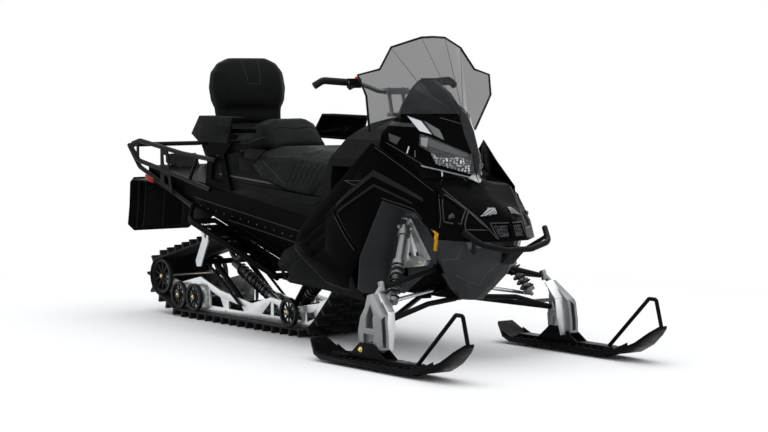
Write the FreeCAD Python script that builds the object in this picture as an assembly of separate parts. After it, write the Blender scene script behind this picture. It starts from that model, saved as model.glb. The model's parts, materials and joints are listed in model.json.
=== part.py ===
import FreeCAD
import Part
import math
import os

Vector = FreeCAD.Vector

# Driving sizes in millimetres, front towards -Y, left towards +X, ground at 0
overall_length = 3360.0
overall_height = 1440.0
body_width = 784.0
ski_stance = 1080.0
track_width = 381.0
drive_height = 390.0
idler_height = 198.0
carrier_wheel_height = 404.0

# Clearances and overruns
fit_gap = 0.5
seat_gap = 0.3
running_gap = 0.05
wheel_gap = 0.9
steer_gap = 6.0
track_side_room = 11.5
track_top_room = 29.1
overrun = 20.0

# Sheets, castings and tubes
tunnel_sheet = 3.0
panel_sheet = 5.0
rib_proud = 3.0
liner_sheet = 5.0
glazing_sheet = 5.0
tower_sheet = 5.0
tower_flange = 26.0
rail_sheet = 10.0
frame_tube = 12.0
bumper_tube = 13.0
arm_tube = 12.0
skid_tube = 14.0
bar_tube = 11.1
post_tube = 8.9
grip_tube = 16.5
loop_tube = 9.0
bolt_radius = 8.0
tube_bend = 60.0
bar_bend = 45.0
loop_bend = 14.0

# Track
track_belt = 8.0
track_lug = 31.5
track_pitch_count = 51
lug_foot = 20.0
lug_crest = 11.0
bogie_radius = 71.5
front_turn_radius = 200.0
idler_radius = 92.0
sprocket_radius = 90.0

# Wheels
wheel_width = 20.0
wheel_rim = 14.0
wheel_web = 8.0
wheel_hub = 17.0
axle_radius = 10.0
wheel_spoke_count = 10
wheel_spoke = 5.0

# Skis
ski_length = 1085.0
ski_width = 152.0
ski_bolt_height = 85.0
ski_ridge_width = 62.0
runner_width = 10.0
saddle_sheet = 8.0

# Shares of the driving sizes: every outline is drawn in these units
length_shares = 33.6
bolt_share = 10.0
crest_share = 14.4
deck_share = 5.486
tunnel_share = 2.05
body_share = 3.92
stance_share = 5.40
ski_length_shares = 10.85
ski_bolt_share = 0.85
idler_share = 1.98
belt_share = 0.395

length_step = overall_length / length_shares
belt_bottom = track_lug + track_belt
deck_height = drive_height + sprocket_radius + belt_bottom + track_top_room
deck_step = deck_height / deck_share
upper_step = (overall_height - deck_height) / (crest_share - deck_share)
tunnel_half = track_width / 2 + track_side_room + tunnel_sheet
tunnel_step = tunnel_half / tunnel_share
body_step = (body_width / 2 - tunnel_half) / (body_share - tunnel_share)
stance_step = (ski_stance / 2 - tunnel_half) / (stance_share - tunnel_share)
ski_step = ski_length / ski_length_shares
ski_lift = ski_bolt_height / ski_bolt_share
rail_step = (idler_height - belt_bottom) / (idler_share - belt_share)


def rise(height_share):
    if height_share <= deck_share:
        return height_share * deck_step
    return deck_height + (height_share - deck_share) * upper_step


def across(width_share, outer_step=body_step):
    inner = min(abs(width_share), tunnel_share) * tunnel_step
    outer = max(abs(width_share) - tunnel_share, 0) * outer_step
    return math.copysign(inner + outer, width_share)


def along(length_share):
    return (length_share - bolt_share) * length_step


def at(place, outer_step=body_step):
    width_share, length_share, height_share = place
    return Vector(across(width_share, outer_step), along(length_share), rise(height_share))


def stance_at(place):
    return at(place, stance_step)


def path(place_shares, where=at):
    return [where(place) for place in place_shares]


def side_points(outline_shares):
    return [at((0, length_share, height_share)) for length_share, height_share in outline_shares]


def rail_points(outline_shares):
    points = []
    for length_share, height_share in outline_shares:
        points.append(Vector(0, along(length_share), belt_bottom + (height_share - belt_share) * rail_step))
    return points


def ski_points(outline_shares):
    ahead = along(0)
    return [Vector(0, ahead + length_share * ski_step, height_share * ski_lift)
            for length_share, height_share in outline_shares]


def slab(points, travel):
    return Part.Face(Part.makePolygon(points + [points[0]])).extrude(travel)


def cross_slab(points, low, high):
    shift = Vector(low, 0, 0)
    return slab([point + shift for point in points], Vector(high - low, 0, 0))


def side_prism(outline_shares, low, high):
    return cross_slab(side_points(outline_shares), low, high)


def front_prism(outline_shares, span_shares, where=at):
    front, back = span_shares
    points = [where((width_share, front, height_share)) for width_share, height_share in outline_shares]
    return slab(points, Vector(0, along(back) - along(front), 0))


def plan_prism(outline_shares, low, high):
    points = [at((width_share, length_share, 0)) for width_share, length_share in outline_shares]
    shift = Vector(0, 0, low)
    return slab([point + shift for point in points], Vector(0, 0, high - low))


def both_ways(half_shares):
    other = [(-first, second) for first, second in reversed(half_shares)]
    return list(half_shares) + other


def plan_loft(section_shares, growth):
    wires = []
    for height_share, half_shares in section_shares:
        rear = half_shares[-1][1]
        points = []
        for width_share, length_share in both_ways(half_shares):
            side = math.copysign(growth, width_share)
            back = growth if length_share == rear else -growth
            points.append(at((width_share, length_share, height_share)) + Vector(side, back, 0))
        wires.append(Part.makePolygon(points + [points[0]]))
    return Part.makeLoft(wires, True, True)


def long_loft(section_shares):
    wires = []
    for length_share, half_shares in section_shares:
        points = []
        for width_share, height_share in both_ways(half_shares):
            points.append(at((width_share, length_share, height_share)))
        wires.append(Part.makePolygon(points + [points[0]]))
    return Part.makeLoft(wires, True, True)


def mirrored(shape):
    return shape.mirror(Vector(0, 0, 0), Vector(1, 0, 0))


def both_sides(*shapes):
    return list(shapes) + [mirrored(shape) for shape in shapes]


def group(shapes):
    return Part.makeCompound(shapes)


def across_path(points):
    other = [Vector(-point.x, point.y, point.z) for point in reversed(points)]
    return other + points


def rod(start, end, radius):
    line = end - start
    return Part.makeCylinder(radius, line.Length, start, line)


def cross_rod(centre, half_length, radius):
    reach = Vector(half_length, 0, 0)
    return rod(centre - reach, centre + reach, radius)


def block(corner_shares, where=at):
    low = where(corner_shares[0])
    size = where(corner_shares[1]) - low
    return Part.makeBox(size.x, size.y, size.z, low)


def bent_path(points, bend):
    edges = []
    start = points[0]
    for before, corner, after in zip(points, points[1:], points[2:]):
        back = (before - corner).normalize()
        on = (after - corner).normalize()
        half = back.getAngle(on) / 2
        room = min((before - corner).Length, (after - corner).Length) * bend_room_share
        reach = min(bend / math.tan(half), room)
        radius = reach * math.tan(half)
        inward = (back + on).normalize()
        first = corner + back * reach
        middle = corner + inward * (radius / math.sin(half) - radius)
        last = corner + on * reach
        edges.append(Part.LineSegment(start, first).toShape())
        edges.append(Part.Arc(first, middle, last).toShape())
        start = last
    edges.append(Part.LineSegment(start, points[-1]).toShape())
    return Part.Wire(edges)


def tube(points, radius, bend=tube_bend):
    circle = Part.makeCircle(radius, points[0], points[1] - points[0])
    return bent_path(points, bend).makePipeShell([Part.Wire(circle)], True, True)


def fused(shapes):
    return shapes[0].multiFuse(list(shapes[1:])).removeSplitter()


def largest(shape):
    return max(shape.Solids, key=lambda solid: solid.Volume)


def save(name, *shapes):
    solids = []
    for shape in shapes:
        solids.extend(shape.Solids)
    group(solids).exportStep("parts/" + name + ".step")


bend_room_share = 0.45
whole_height = rise(crest_share)
os.makedirs("parts", exist_ok=True)

# Faceted body envelope: plan outline crossed with front outline
body_plan_shares = [
    (0.95, -2.85), (2.20, -0.60), (2.70, 1.39), (3.22, 2.99), (3.66, 4.5), (3.88, 7.0), (body_share, 10.0),
]
body_front_shares = [
    (2.50, 2.30), (3.45, 3.00), (body_share, 4.40), (3.85, 5.60), (3.62, 7.40), (3.30, 9.30), (3.15, 9.9),
]
body_span_shares = (-3.0, 11.0)
body_tail_shares = [(3.8, 9.9), (3.8, 10.6), (-3.8, 10.6), (-3.8, 9.9)]
panel_inner_share = 2.0
body_reach = across(body_share) + overrun


def envelope(growth):
    plan = plan_prism(both_ways(body_plan_shares), 0, whole_height)
    front = front_prism(both_ways(body_front_shares), body_span_shares)
    widen = FreeCAD.Matrix()
    widen.scale(Vector(1 + growth / across(body_share), 1, 1))
    plan = plan.transformGeometry(widen)
    plan.translate(Vector(0, -growth, 0))
    plan = plan.fuse(plan_prism(body_tail_shares, 0, whole_height))
    return plan.common(front.transformGeometry(widen))


outer_body = envelope(0)
inner_body = envelope(-panel_sheet)
proud_body = envelope(rib_proud)
sunk_body = envelope(-rib_proud)


def body_region(outline_shares):
    return side_prism(outline_shares, across(panel_inner_share), body_reach)


def body_sheet(outline_shares):
    return body_region(outline_shares).common(outer_body).cut(inner_body)


def body_rib(outline_shares):
    return body_region(outline_shares).common(proud_body).cut(inner_body)


def body_groove(outline_shares):
    return body_region(outline_shares).common(proud_body).cut(sunk_body)


# Side panels with chevron ribs, a double crease and a sunk rear grille
side_panel_shares = [
    (-0.60, 5.92), (-0.60, 6.57), (-0.43, 7.66), (2.99, 9.62), (5.64, 7.32), (7.80, 5.50), (8.18, 4.73),
    (6.20, 3.20), (4.50, 2.90), (4.10, 3.58), (3.72, 4.44), (2.50, 7.05), (0.72, 6.58), (0.34, 6.20),
    (-0.26, 5.84),
]
panel_rib_shares = [
    [(5.01, 6.86), (2.85, 8.41), (0.18, 7.24), (0.18, 7.06), (2.92, 8.11), (5.04, 6.62)],
    [(4.94, 6.50), (2.79, 7.83), (0.80, 7.03), (0.80, 6.93), (2.82, 7.65), (4.97, 6.36)],
    [(5.30, 6.42), (5.17, 6.42), (3.85, 4.75), (3.97, 4.69)],
]
panel_groove_shares = [
    [(5.12, 6.40), (5.01, 6.40), (3.76, 4.71), (3.85, 4.67)],
    [(7.30, 5.32), (5.77, 6.05), (5.75, 5.90), (7.26, 5.14)],
    [(7.11, 4.92), (5.84, 5.49), (5.81, 5.33), (7.05, 4.72)],
    [(6.74, 4.50), (5.89, 4.85), (5.85, 4.69), (6.67, 4.30)],
]

# Foot pans below and behind the side panels
foot_pan_shares = [
    (8.18, 4.73), (9.01, 4.42), (9.91, 3.73), (9.58, 2.82), (6.87, 2.66), (5.66, 2.50), (4.33, 2.30),
    (3.84, 2.79), (4.10, 3.58), (4.50, 2.90), (6.20, 3.20),
]
pan_floor_shares = [(4.30, 2.45), (6.90, 2.80), (9.91, 3.00), (9.91, 2.96), (6.90, 2.76), (4.30, 2.41)]
pan_outer_share = 3.45
pan_slot_shares = [(9.50, 3.05), (9.50, 3.45), (9.25, 3.42), (9.25, 3.05)]
foot_pan = body_sheet(foot_pan_shares).cut(body_region(pan_slot_shares))
pan_floor = side_prism(pan_floor_shares, tunnel_half, across(pan_outer_share))
save("foot_pans", *both_sides(fused([foot_pan, pan_floor.common(outer_body)])))

# Tunnel: folded sheet channel over the track with rolled lower edges
tunnel_front_share = 6.35
tunnel_rear_share = 24.60
tunnel_slope_share = 0.1268
tunnel_side_shares = [(24.60, 7.00), (18.20, 5.45), (9.90, 3.05), (6.35, 2.90)]
tunnel_bead_shares = [(10.6, 3.45), (18.0, 5.60), (18.0, 5.72), (10.6, 3.58)]


def tunnel_top(length_share):
    return length_share, deck_share + (length_share - tunnel_front_share) * tunnel_slope_share


tunnel_crest_shares = [tunnel_top(tunnel_front_share), tunnel_top(tunnel_rear_share)]
tunnel_shares = tunnel_crest_shares + tunnel_side_shares
tunnel_open_shares = [(24.60, 6.00), (18.20, 2.00), (9.90, 2.00), (6.35, 2.00)]
tunnel = side_prism(tunnel_shares, -tunnel_half, tunnel_half)
tunnel_inner = tunnel_half - tunnel_sheet
tunnel_cavity = side_prism(tunnel_crest_shares + tunnel_open_shares, -tunnel_inner, tunnel_inner)
tunnel_cavity.translate(Vector(0, tunnel_sheet, -tunnel_sheet))
tunnel_bead = side_prism(tunnel_bead_shares, tunnel_half, tunnel_half + tunnel_sheet)
tunnel = fused([tunnel.cut(tunnel_cavity)] + both_sides(tunnel_bead))
save("tunnel", tunnel)

# Running boards with a row of openings, toe ribs and an edge tube
board_shares = [(9.91, 3.00), (18.02, 5.33), (18.02, 5.38), (9.91, 3.05)]
board_outer_share = 3.70
board_span_shares = (10.5, 17.7)
board_opening_shares = [(2.45, 0.0), (3.35, 0.0), (3.35, 0.32), (2.45, 0.32)]
board_opening_count = 12
board_edge_shares = [(3.66, 9.95, 3.02), (3.66, 17.6, 5.22), (3.3, 18.4, 5.45), (2.2, 19.9, 5.87)]
board = side_prism(board_shares, tunnel_half, across(board_outer_share))
board_openings = []
for index in range(board_opening_count):
    first, last = board_span_shares
    station = first + index * (last - first) / board_opening_count
    outline = [(width_share, station + length_share) for width_share, length_share in board_opening_shares]
    board_openings.append(plan_prism(outline, 0, whole_height))
board = board.cut(group(board_openings))
board = fused([board, tube(path(board_edge_shares), frame_tube)]).cut(group(both_sides(tunnel_bead)))
save("running_boards", *both_sides(board))

# Rear bumper rails and the carrier frame with its plates
carrier_half_shares = [(2.35, 26.1, 8.85), (2.4, 24.87, 9.11), (2.4, 20.62, 8.56), (2.4, 17.35, 8.31)]
low_rail_shares = [(2.2, 19.9, 5.87), (2.2, 25.25, 7.71), (2.3, 26.1, 8.75)]
carrier_rail_shares = [(2.4, 17.9, 6.80), (2.4, 21.82, 7.53), (2.4, 24.99, 8.05), (2.35, 26.1, 8.85)]
carrier_brace_shares = [(2.4, 19.10, 8.42), (2.4, 19.95, 7.16)]
carrier_plate_shares = [(21.55, 6.42), (22.75, 6.85), (22.75, 8.83), (22.05, 8.74)]
carrier_window_shares = [(22.00, 7.85), (22.45, 7.95), (22.50, 8.45), (22.22, 8.40)]
carrier_low_window_shares = [(21.90, 6.80), (22.35, 6.95), (22.40, 7.40), (22.00, 7.32)]
carrier_ear_shares = [(25.00, 8.15), (25.95, 8.80), (25.60, 8.98), (25.00, 9.05)]
carrier_ear_window_shares = [(25.20, 8.45), (25.55, 8.70), (25.45, 8.82), (25.20, 8.86)]
plate_middle_share = 2.4
carrier_half = path(carrier_half_shares)
plate_low = across(plate_middle_share) - tunnel_sheet
plate_high = across(plate_middle_share) + tunnel_sheet
carrier_plate = side_prism(carrier_plate_shares, plate_low, plate_high)
carrier_plate = carrier_plate.cut(side_prism(carrier_window_shares, plate_low, plate_high))
carrier_plate = carrier_plate.cut(side_prism(carrier_low_window_shares, plate_low, plate_high))
carrier_ear = side_prism(carrier_ear_shares, plate_low, plate_high)
carrier_ear = carrier_ear.cut(side_prism(carrier_ear_window_shares, plate_low, plate_high))
carrier_sides = both_sides(
    tube(path(carrier_rail_shares), frame_tube), tube(path(low_rail_shares), frame_tube),
    rod(*path(carrier_brace_shares), post_tube), carrier_plate, carrier_ear)
carrier = fused([tube(across_path(carrier_half), frame_tube)] + carrier_sides)
carrier = carrier.cut(group(both_sides(board)))
save("carrier", carrier)

# Tail lamp, tow hitch and snow flap
lamp_half_share = 0.7
lamp_shares = [tunnel_top(23.90), tunnel_top(tunnel_rear_share), (25.10, 7.90), (25.10, 8.35), (24.30, 8.40)]
hitch_shares = [(24.3, 6.93), (26.38, 6.93), (26.38, 7.01), (24.3, 7.01)]
hitch_bore_shares = [(0, 25.7, 6.5), (0, 25.7, 7.5)]
flap_shares = [(26.38, 7.10), (26.44, 7.10), (26.55, 5.60), (26.80, 4.20), (26.74, 4.20), (26.49, 5.60)]
flap_front_shares = [(1.70, 4.20), (2.12, 4.55), (2.12, 6.85), (1.90, 7.10)]
flap_span_shares = (26.0, 27.0)
flap_rib_shares = [(1.05, 4.45), (1.20, 4.45), (1.20, 6.60), (1.05, 6.60)]
save("tail_lamp", side_prism(lamp_shares, -across(lamp_half_share), across(lamp_half_share)))
hitch = side_prism(hitch_shares, -tunnel_inner, tunnel_inner)
save("tow_hitch", hitch.cut(rod(*path(hitch_bore_shares), bolt_radius)))
flap = side_prism(flap_shares, -tunnel_half - overrun, tunnel_half + overrun)
flap = flap.common(front_prism(both_ways(flap_front_shares), flap_span_shares))
flap_rib = side_prism(flap_shares, -tunnel_half, tunnel_half)
flap_rib.translate(Vector(0, fit_gap - panel_sheet, 0))
flap_ribs = group(both_sides(flap_rib.common(front_prism(flap_rib_shares, flap_span_shares))))
save("snow_flap", fused([flap, flap_ribs]).cut(hitch))

# Driver cushion: lofted through sections that widen to the rear
driver_section_shares = [
    (6.91, [(1.20, 8.66), (1.60, 8.40), (1.55, 8.05), (1.30, 7.90)]),
    (7.90, [(1.20, 8.80), (1.80, 8.42), (2.05, 7.75), (1.95, 7.55)]),
    (9.40, [(1.20, 8.98), (1.95, 8.52), (2.30, 7.10), (2.20, 6.90)]),
    (11.20, [(1.25, 9.14), (2.05, 8.68), (2.35, 7.30), (2.25, 7.02)]),
    (13.40, [(1.30, 9.06), (2.10, 8.60), (2.35, 7.75), (2.25, 7.50)]),
    (14.70, [(1.30, 8.84), (2.05, 8.62), (2.15, 8.40), (2.05, 8.20)]),
]
driver_cushion = long_loft(driver_section_shares)
save("driver_cushion", driver_cushion)

# Passenger cushion and backrest
passenger_section_shares = [
    (9.70, [(0.80, 9.26), (1.30, 9.20), (1.45, 9.10), (1.40, 8.86)]),
    (10.80, [(0.90, 9.85), (1.40, 9.62), (1.62, 9.25), (1.55, 8.90)]),
    (12.10, [(0.95, 10.38), (1.50, 10.12), (1.80, 9.30), (1.70, 8.90)]),
    (12.90, [(0.95, 10.36), (1.55, 10.14), (1.88, 9.30), (1.80, 8.86)]),
    (13.60, [(0.90, 9.86), (1.65, 9.76), (1.98, 9.20), (1.90, 8.70)]),
    (14.60, [(0.90, 9.60), (1.75, 9.44), (2.03, 9.02), (1.98, 8.46)]),
    (16.20, [(0.90, 9.72), (1.80, 9.64), (2.03, 9.30), (1.96, 8.60)]),
    (17.30, [(1.10, 10.12), (1.65, 10.08), (1.92, 9.60), (1.86, 8.60)]),
    (18.20, [(1.10, 10.14), (1.60, 10.08), (1.88, 9.60), (1.80, 8.44)]),
]
passenger_cushion = long_loft(passenger_section_shares)
passenger_seat_gap = Vector(0, 0, -seat_gap)
passenger_room = passenger_cushion.fuse(passenger_cushion.translated(passenger_seat_gap))
save("passenger_cushion", passenger_cushion.cut(driver_cushion))
backrest_section_shares = [
    (10.05, [(1.60, 17.66), (1.90, 17.84), (1.90, 18.20), (1.55, 18.45)]),
    (10.90, [(1.66, 17.76), (1.98, 17.94), (1.98, 18.28), (1.58, 18.50)]),
    (11.06, [(1.56, 17.60), (2.04, 17.86), (2.04, 18.34), (1.60, 18.60)]),
    (11.30, [(1.60, 17.50), (2.13, 17.84), (2.13, 18.40), (1.62, 18.70)]),
    (11.95, [(1.65, 17.52), (2.21, 17.90), (2.21, 18.44), (1.68, 18.76)]),
    (12.70, [(1.62, 17.68), (2.08, 17.98), (2.08, 18.44), (1.66, 18.76)]),
    (13.18, [(1.30, 17.88), (1.69, 18.04), (1.69, 18.40), (1.35, 18.62)]),
    (13.43, [(0.91, 18.05), (1.10, 18.12), (1.10, 18.36), (0.95, 18.48)]),
]
backrest = plan_loft(backrest_section_shares, 0)
save("backrest", backrest.cut(passenger_room))

# Seat base with a raised panel line
seat_base_front_share = 7.38
seat_half_share = 2.15
seat_base_shares = [
    tunnel_top(seat_base_front_share), tunnel_top(18.20), (18.20, 8.46), (14.98, 8.86), (15.60, 8.00),
    (9.36, 7.20), (seat_base_front_share, 7.75),
]
seat_rib_shares = [(8.20, 6.72), (9.40, 6.40), (15.9, 7.16), (16.1, 7.30), (9.36, 6.56), (8.20, 6.90)]
seat_half = across(seat_half_share)
seat_base = side_prism(seat_base_shares, -seat_half, seat_half)
seat_rib = side_prism(seat_rib_shares, seat_half, seat_half + rib_proud)
seat_base = fused([seat_base] + both_sides(seat_rib))
save("seat_base", seat_base.cut(driver_cushion).cut(passenger_room))

# Passenger posts, hand guards and grab bars
post_shares = [(16.13, 6.80), (18.57, 7.10), (18.2, 9.4), (17.0, 9.8), (15.6, 9.6), (16.8, 8.6)]
post_window_shares = [(16.9, 7.2), (18.0, 7.35), (17.8, 8.5), (17.2, 8.6)]
post_outer_share = 2.26
guard_shares = [(13.25, 10.56), (16.26, 10.60), (17.02, 9.70), (16.40, 9.35), (13.70, 9.30)]
guard_cavity_shares = [(13.0, 10.44), (16.20, 10.48), (16.85, 9.70), (16.36, 9.47), (13.0, 9.42)]
guard_side_shares = (3.30, 4.05)
guard_room_shares = (3.20, 3.93)
guard_rib_shares = [(13.50, 10.10), (15.90, 10.16), (16.40, 9.72), (16.10, 9.60), (13.70, 9.78)]
grab_bar_shares = [(2.24, 17.3, 9.3), (3.5, 16.6, 9.6), (3.5, 13.9, 9.9), (2.6, 13.4, 9.9)]
post_inner = seat_half + rib_proud + running_gap
post = side_prism(post_shares, post_inner, across(post_outer_share) + rib_proud)
post = post.cut(side_prism(post_window_shares, post_inner, across(post_outer_share) + rib_proud))
guard = side_prism(guard_shares, *[across(share) for share in guard_side_shares])
guard = guard.cut(side_prism(guard_cavity_shares, *[across(share) for share in guard_room_shares]))
guard_face = across(guard_side_shares[1])
guard = fused([guard, side_prism(guard_rib_shares, guard_face, guard_face + rib_proud)])
save("hand_guards", *both_sides(guard))
grab_bar = tube(path(grab_bar_shares), frame_tube)
save("passenger_posts", *both_sides(fused([post, grab_bar]).cut(guard).cut(carrier)))

# Hood: faceted loft through level sections, open to the engine bay below
hood_section_shares = [
    (5.45, [(0.30, -3.12), (0.78, -3.08), (2.12, -1.95), (2.15, -0.60), (2.50, 3.30)]),
    (6.20, [(0.25, -2.84), (1.10, -2.42), (2.15, -1.62), (2.18, -0.60), (2.53, 3.30)]),
    (6.82, [(0.22, -2.22), (1.44, -1.65), (2.14, -1.20), (2.20, -0.50), (2.58, 3.30)]),
    (7.30, [(0.18, -1.42), (1.62, -1.02), (2.12, -0.85), (2.20, -0.35), (2.66, 3.30)]),
    (7.74, [(0.14, -0.76), (1.00, -0.62), (1.86, -0.42), (2.15, -0.20), (2.72, 3.30)]),
    (8.08, [(0.10, -0.48), (0.30, -0.26), (1.15, 0.60), (1.95, 0.90), (2.72, 3.30)]),
    (9.10, [(0.06, -0.26), (0.60, 0.34), (1.31, 1.05), (1.95, 2.10), (2.66, 3.30)]),
    (10.00, [(0.05, 0.20), (0.62, 0.86), (1.40, 1.69), (1.85, 2.35), (2.45, 3.30)]),
    (10.90, [(0.05, 0.62), (0.75, 1.33), (1.70, 2.29), (1.88, 2.66), (1.58, 3.15)]),
]
hood_vent_depth = 14.0
lens_proud = 6.0
trim_proud = 3.0
engine_bay_shares = [(-1.95, 0.20, 3.0), (1.95, 6.6, 7.72)]
well_cut_shares = [
    (0.30, 6.03), (0.72, 6.58), (2.50, 7.05), (3.72, 4.44), (3.72, 2.60), (-0.20, 2.60), (-0.20, 5.44),
]
well_inner_share = 1.66
hood_solid = plan_loft(hood_section_shares, 0)
hood_core = plan_loft(hood_section_shares, -hood_vent_depth)
well_inner = across(well_inner_share)
well_cut = side_prism(well_cut_shares, well_inner, body_reach)


def hood_region(outline_shares, side_shares):
    return side_prism(outline_shares, *[across(share) for share in side_shares])


# Headlamps, accent lamps, vents, nose grille and trim strips of the hood
lens_shares = [
    (-0.70, 8.14), (0.80, 8.68), (1.04, 9.16), (1.62, 9.48), (1.70, 10.02), (-0.16, 9.16), (-0.70, 9.0),
]
lens_side_shares = (0.06, 1.8)
accent_shares = [(2.31, 10.84), (1.73, 10.58), (1.27, 9.95), (1.74, 10.14)]
accent_side_shares = (0.9, 1.9)
trim_shares = [(-0.60, 8.01), (1.36, 8.60), (1.36, 8.67), (-0.60, 8.10)]
trim_side_shares = (0.16, 1.75)
grille_shares = [(-3.3, 5.60), (-3.3, 6.16), (-1.6, 6.16), (-1.6, 5.60)]
grille_side_shares = (0.12, 0.76)
vent_shares = [
    [(-0.82, 7.34), (-1.56, 6.74), (-1.72, 6.26), (-1.00, 6.34)],
    [(-1.76, 6.62), (-2.60, 5.98), (-2.05, 6.02)],
]
vent_side_shares = (1.00, 2.6)
fin_shares = [(-2.40, 6.46), (-2.16, 6.46), (-1.96, 6.80), (-2.26, 6.88)]
fin_side_shares = (0.34, 1.13)
hood_skin = plan_loft(hood_section_shares, lens_proud)
trim_skin = plan_loft(hood_section_shares, trim_proud)
lens = hood_region(lens_shares, lens_side_shares).common(hood_skin).cut(hood_core)
accent = hood_region(accent_shares, accent_side_shares).common(hood_skin).cut(hood_core).cut(lens)
vent_cuts = []
for outline in vent_shares:
    vent_cuts.append(hood_region(outline, vent_side_shares).cut(hood_core))
vent_cuts.append(hood_region(grille_shares, grille_side_shares).cut(hood_core))
hood_lamp_room = group(both_sides(lens, accent, *vent_cuts))
hood_trims = []
for outline, side_shares in ((trim_shares, trim_side_shares), (fin_shares, fin_side_shares)):
    hood_trims.append(hood_region(outline, side_shares).common(trim_skin).cut(hood_core))
hood = fused([hood_solid] + both_sides(*hood_trims))
hood = hood.cut(block(engine_bay_shares)).cut(group(both_sides(well_cut))).cut(hood_lamp_room)
save("hood", largest(hood))
save("headlamps", *both_sides(lens, accent))
side_panel = body_sheet(side_panel_shares)
for outline in panel_groove_shares:
    side_panel = side_panel.cut(body_groove(outline))
side_panel = fused([side_panel] + [body_rib(outline) for outline in panel_rib_shares])
side_panel = largest(side_panel.cut(trim_skin))
save("side_panels", *both_sides(side_panel))

# Dash pod
pod_section_shares = [
    (10.90, [(0.05, 0.62), (0.75, 1.33), (1.70, 2.29), (1.88, 2.66), (0.95, 4.05)]),
    (11.30, [(0.05, 0.90), (0.42, 1.40), (1.00, 2.14), (1.58, 2.88), (0.90, 3.85)]),
    (11.80, [(0.05, 1.62), (0.46, 2.00), (0.80, 2.42), (1.20, 2.92), (0.70, 3.60)]),
    (12.10, [(0.05, 2.20), (0.60, 2.74), (0.75, 2.92), (0.86, 3.08), (0.55, 3.50)]),
    (12.40, [(0.05, 2.75), (0.38, 2.95), (0.46, 3.02), (0.50, 3.08), (0.34, 3.30)]),
]
gauge_shares = [(3.44, 11.72), (3.95, 11.72), (3.95, 12.04), (3.34, 12.04)]
gauge_half_share = 0.45
dash_solid = plan_loft(pod_section_shares, 0)
gauge_room = side_prism(gauge_shares, -across(gauge_half_share), across(gauge_half_share))
save("dash_pod", dash_solid.cut(gauge_room))

# Windshield: folded sheet of flat facets, trimmed around the hood and pod
shield_point_shares = {
    "crown": (0, 2.67, 14.38), "top": (0.67, 2.67, 14.35), "shoulder": (2.00, 3.20, 13.90),
    "step": (2.74, 3.07, 12.90), "corner": (3.80, 3.30, 12.65), "side": (3.60, 2.91, 11.70),
    "foot": (3.05, 3.44, 10.02), "base": (0, 0.36, 10.60), "cheek": (1.92, 2.56, 10.86),
}
shield_facets = [
    ("crown", "top", "base"), ("top", "shoulder", "base"), ("shoulder", "cheek", "base"),
    ("shoulder", "step", "cheek"), ("step", "side", "cheek"), ("step", "corner", "side"),
    ("side", "foot", "cheek"),
]
shield_parts = []
for names in shield_facets:
    facet = slab(path([shield_point_shares[name] for name in names]), Vector(0, glazing_sheet, 0))
    shield_parts.extend(both_sides(facet))
windshield = shield_parts[0].multiFuse(shield_parts[1:])
windshield = windshield.cut(plan_loft(hood_section_shares, lens_proud + fit_gap))
windshield = largest(windshield.cut(plan_loft(pod_section_shares, fit_gap)))
save("windshield", windshield)

# Steering: handlebar, riser, post and controls
steer_shares = [(0, 5.26, 10.80), (0, 5.53, 11.88)]
post_length = 180.0
post_radius = 14.0
mouth_share = 0.4
riser_post_spread = 40.0
riser_base_shares = [(-0.52, 5.05, 10.70), (0.52, 5.48, 10.88)]
riser_cap_shares = [(-0.60, 5.32, 11.72), (0.60, 5.72, 12.02)]
riser_room_shares = [(-0.80, 4.72, 10.62), (0.80, 5.80, 11.2)]
bar_half_shares = [
    (0.95, 5.52, 11.87), (1.75, 5.78, 12.20), (2.45, 5.98, 12.28), (3.65, 6.18, 12.37), (4.02, 6.29, 12.14),
]
grip_shares = [(2.45, 5.98, 12.28), (3.65, 6.18, 12.37), (4.057, 6.301, 12.117)]
throttle_shares = [(-2.40, 5.66, 12.02), (-1.86, 6.06, 12.46)]
brake_shares = [(1.86, 5.66, 12.02), (2.40, 6.06, 12.46)]
lever_shares = [(2.20, 5.76, 12.16), (2.45, 5.45, 12.20), (3.55, 5.72, 12.22)]
thumb_shares = [(-2.20, 5.80, 12.10), (-2.62, 5.52, 12.02)]
steer_foot, steer_head = path(steer_shares)
steer_axis = (steer_head - steer_foot).normalize()
post_low = steer_foot - steer_axis * post_length
steering_post = rod(post_low, steer_foot, post_radius)
riser_posts = []
for side in (-1, 1):
    shift = Vector(side * riser_post_spread, 0, 0)
    riser_posts.append(rod(steer_foot + shift, steer_head + shift, post_tube))
bar_half = path(bar_half_shares)
bar = tube(across_path(bar_half), bar_tube, bar_bend)
riser = fused([block(riser_base_shares), block(riser_cap_shares), steering_post] + riser_posts)
save("riser", riser.cut(bar))
save("handlebar", bar)
grip = tube(path(grip_shares), grip_tube, bar_bend).cut(bar)
save("grips", *both_sides(grip))
throttle = fused([block(throttle_shares), rod(*path(thumb_shares), post_tube)]).cut(bar)
brake = fused([block(brake_shares), tube(path(lever_shares), post_tube, loop_bend)]).cut(bar).cut(grip)
save("hand_controls", throttle, brake)

# Console between the hood and the seat, bored for the steering post
console_shares = [
    (3.32, 8.45), (3.32, 10.80), (4.20, 10.64), (5.10, 10.42), (6.00, 9.75), (6.90, 8.72),
    (seat_base_front_share, 7.60), tunnel_top(seat_base_front_share), tunnel_top(6.62), (6.62, 8.45),
]
console_front_shares = [(2.90, 5.60), (2.90, 7.80), (2.80, 8.80), (2.45, 9.70), (2.05, 10.15), (1.20, 10.80)]
console_span_shares = (3.0, 8.0)
console_half_share = 3.0
console_half = across(console_half_share)
console = side_prism(console_shares, -console_half, console_half)
console = console.common(front_prism(both_ways(console_front_shares), console_span_shares))
console_bore = rod(post_low - steer_axis * steer_gap, steer_head, post_radius + running_gap)
bore_mouth = rod(steer_foot - steer_axis * (post_length * mouth_share), steer_head, post_radius + steer_gap)
console = console.cut(console_bore).cut(bore_mouth).cut(block(riser_room_shares)).cut(dash_solid)
console = console.cut(driver_cushion)
save("console", largest(console))

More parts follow.
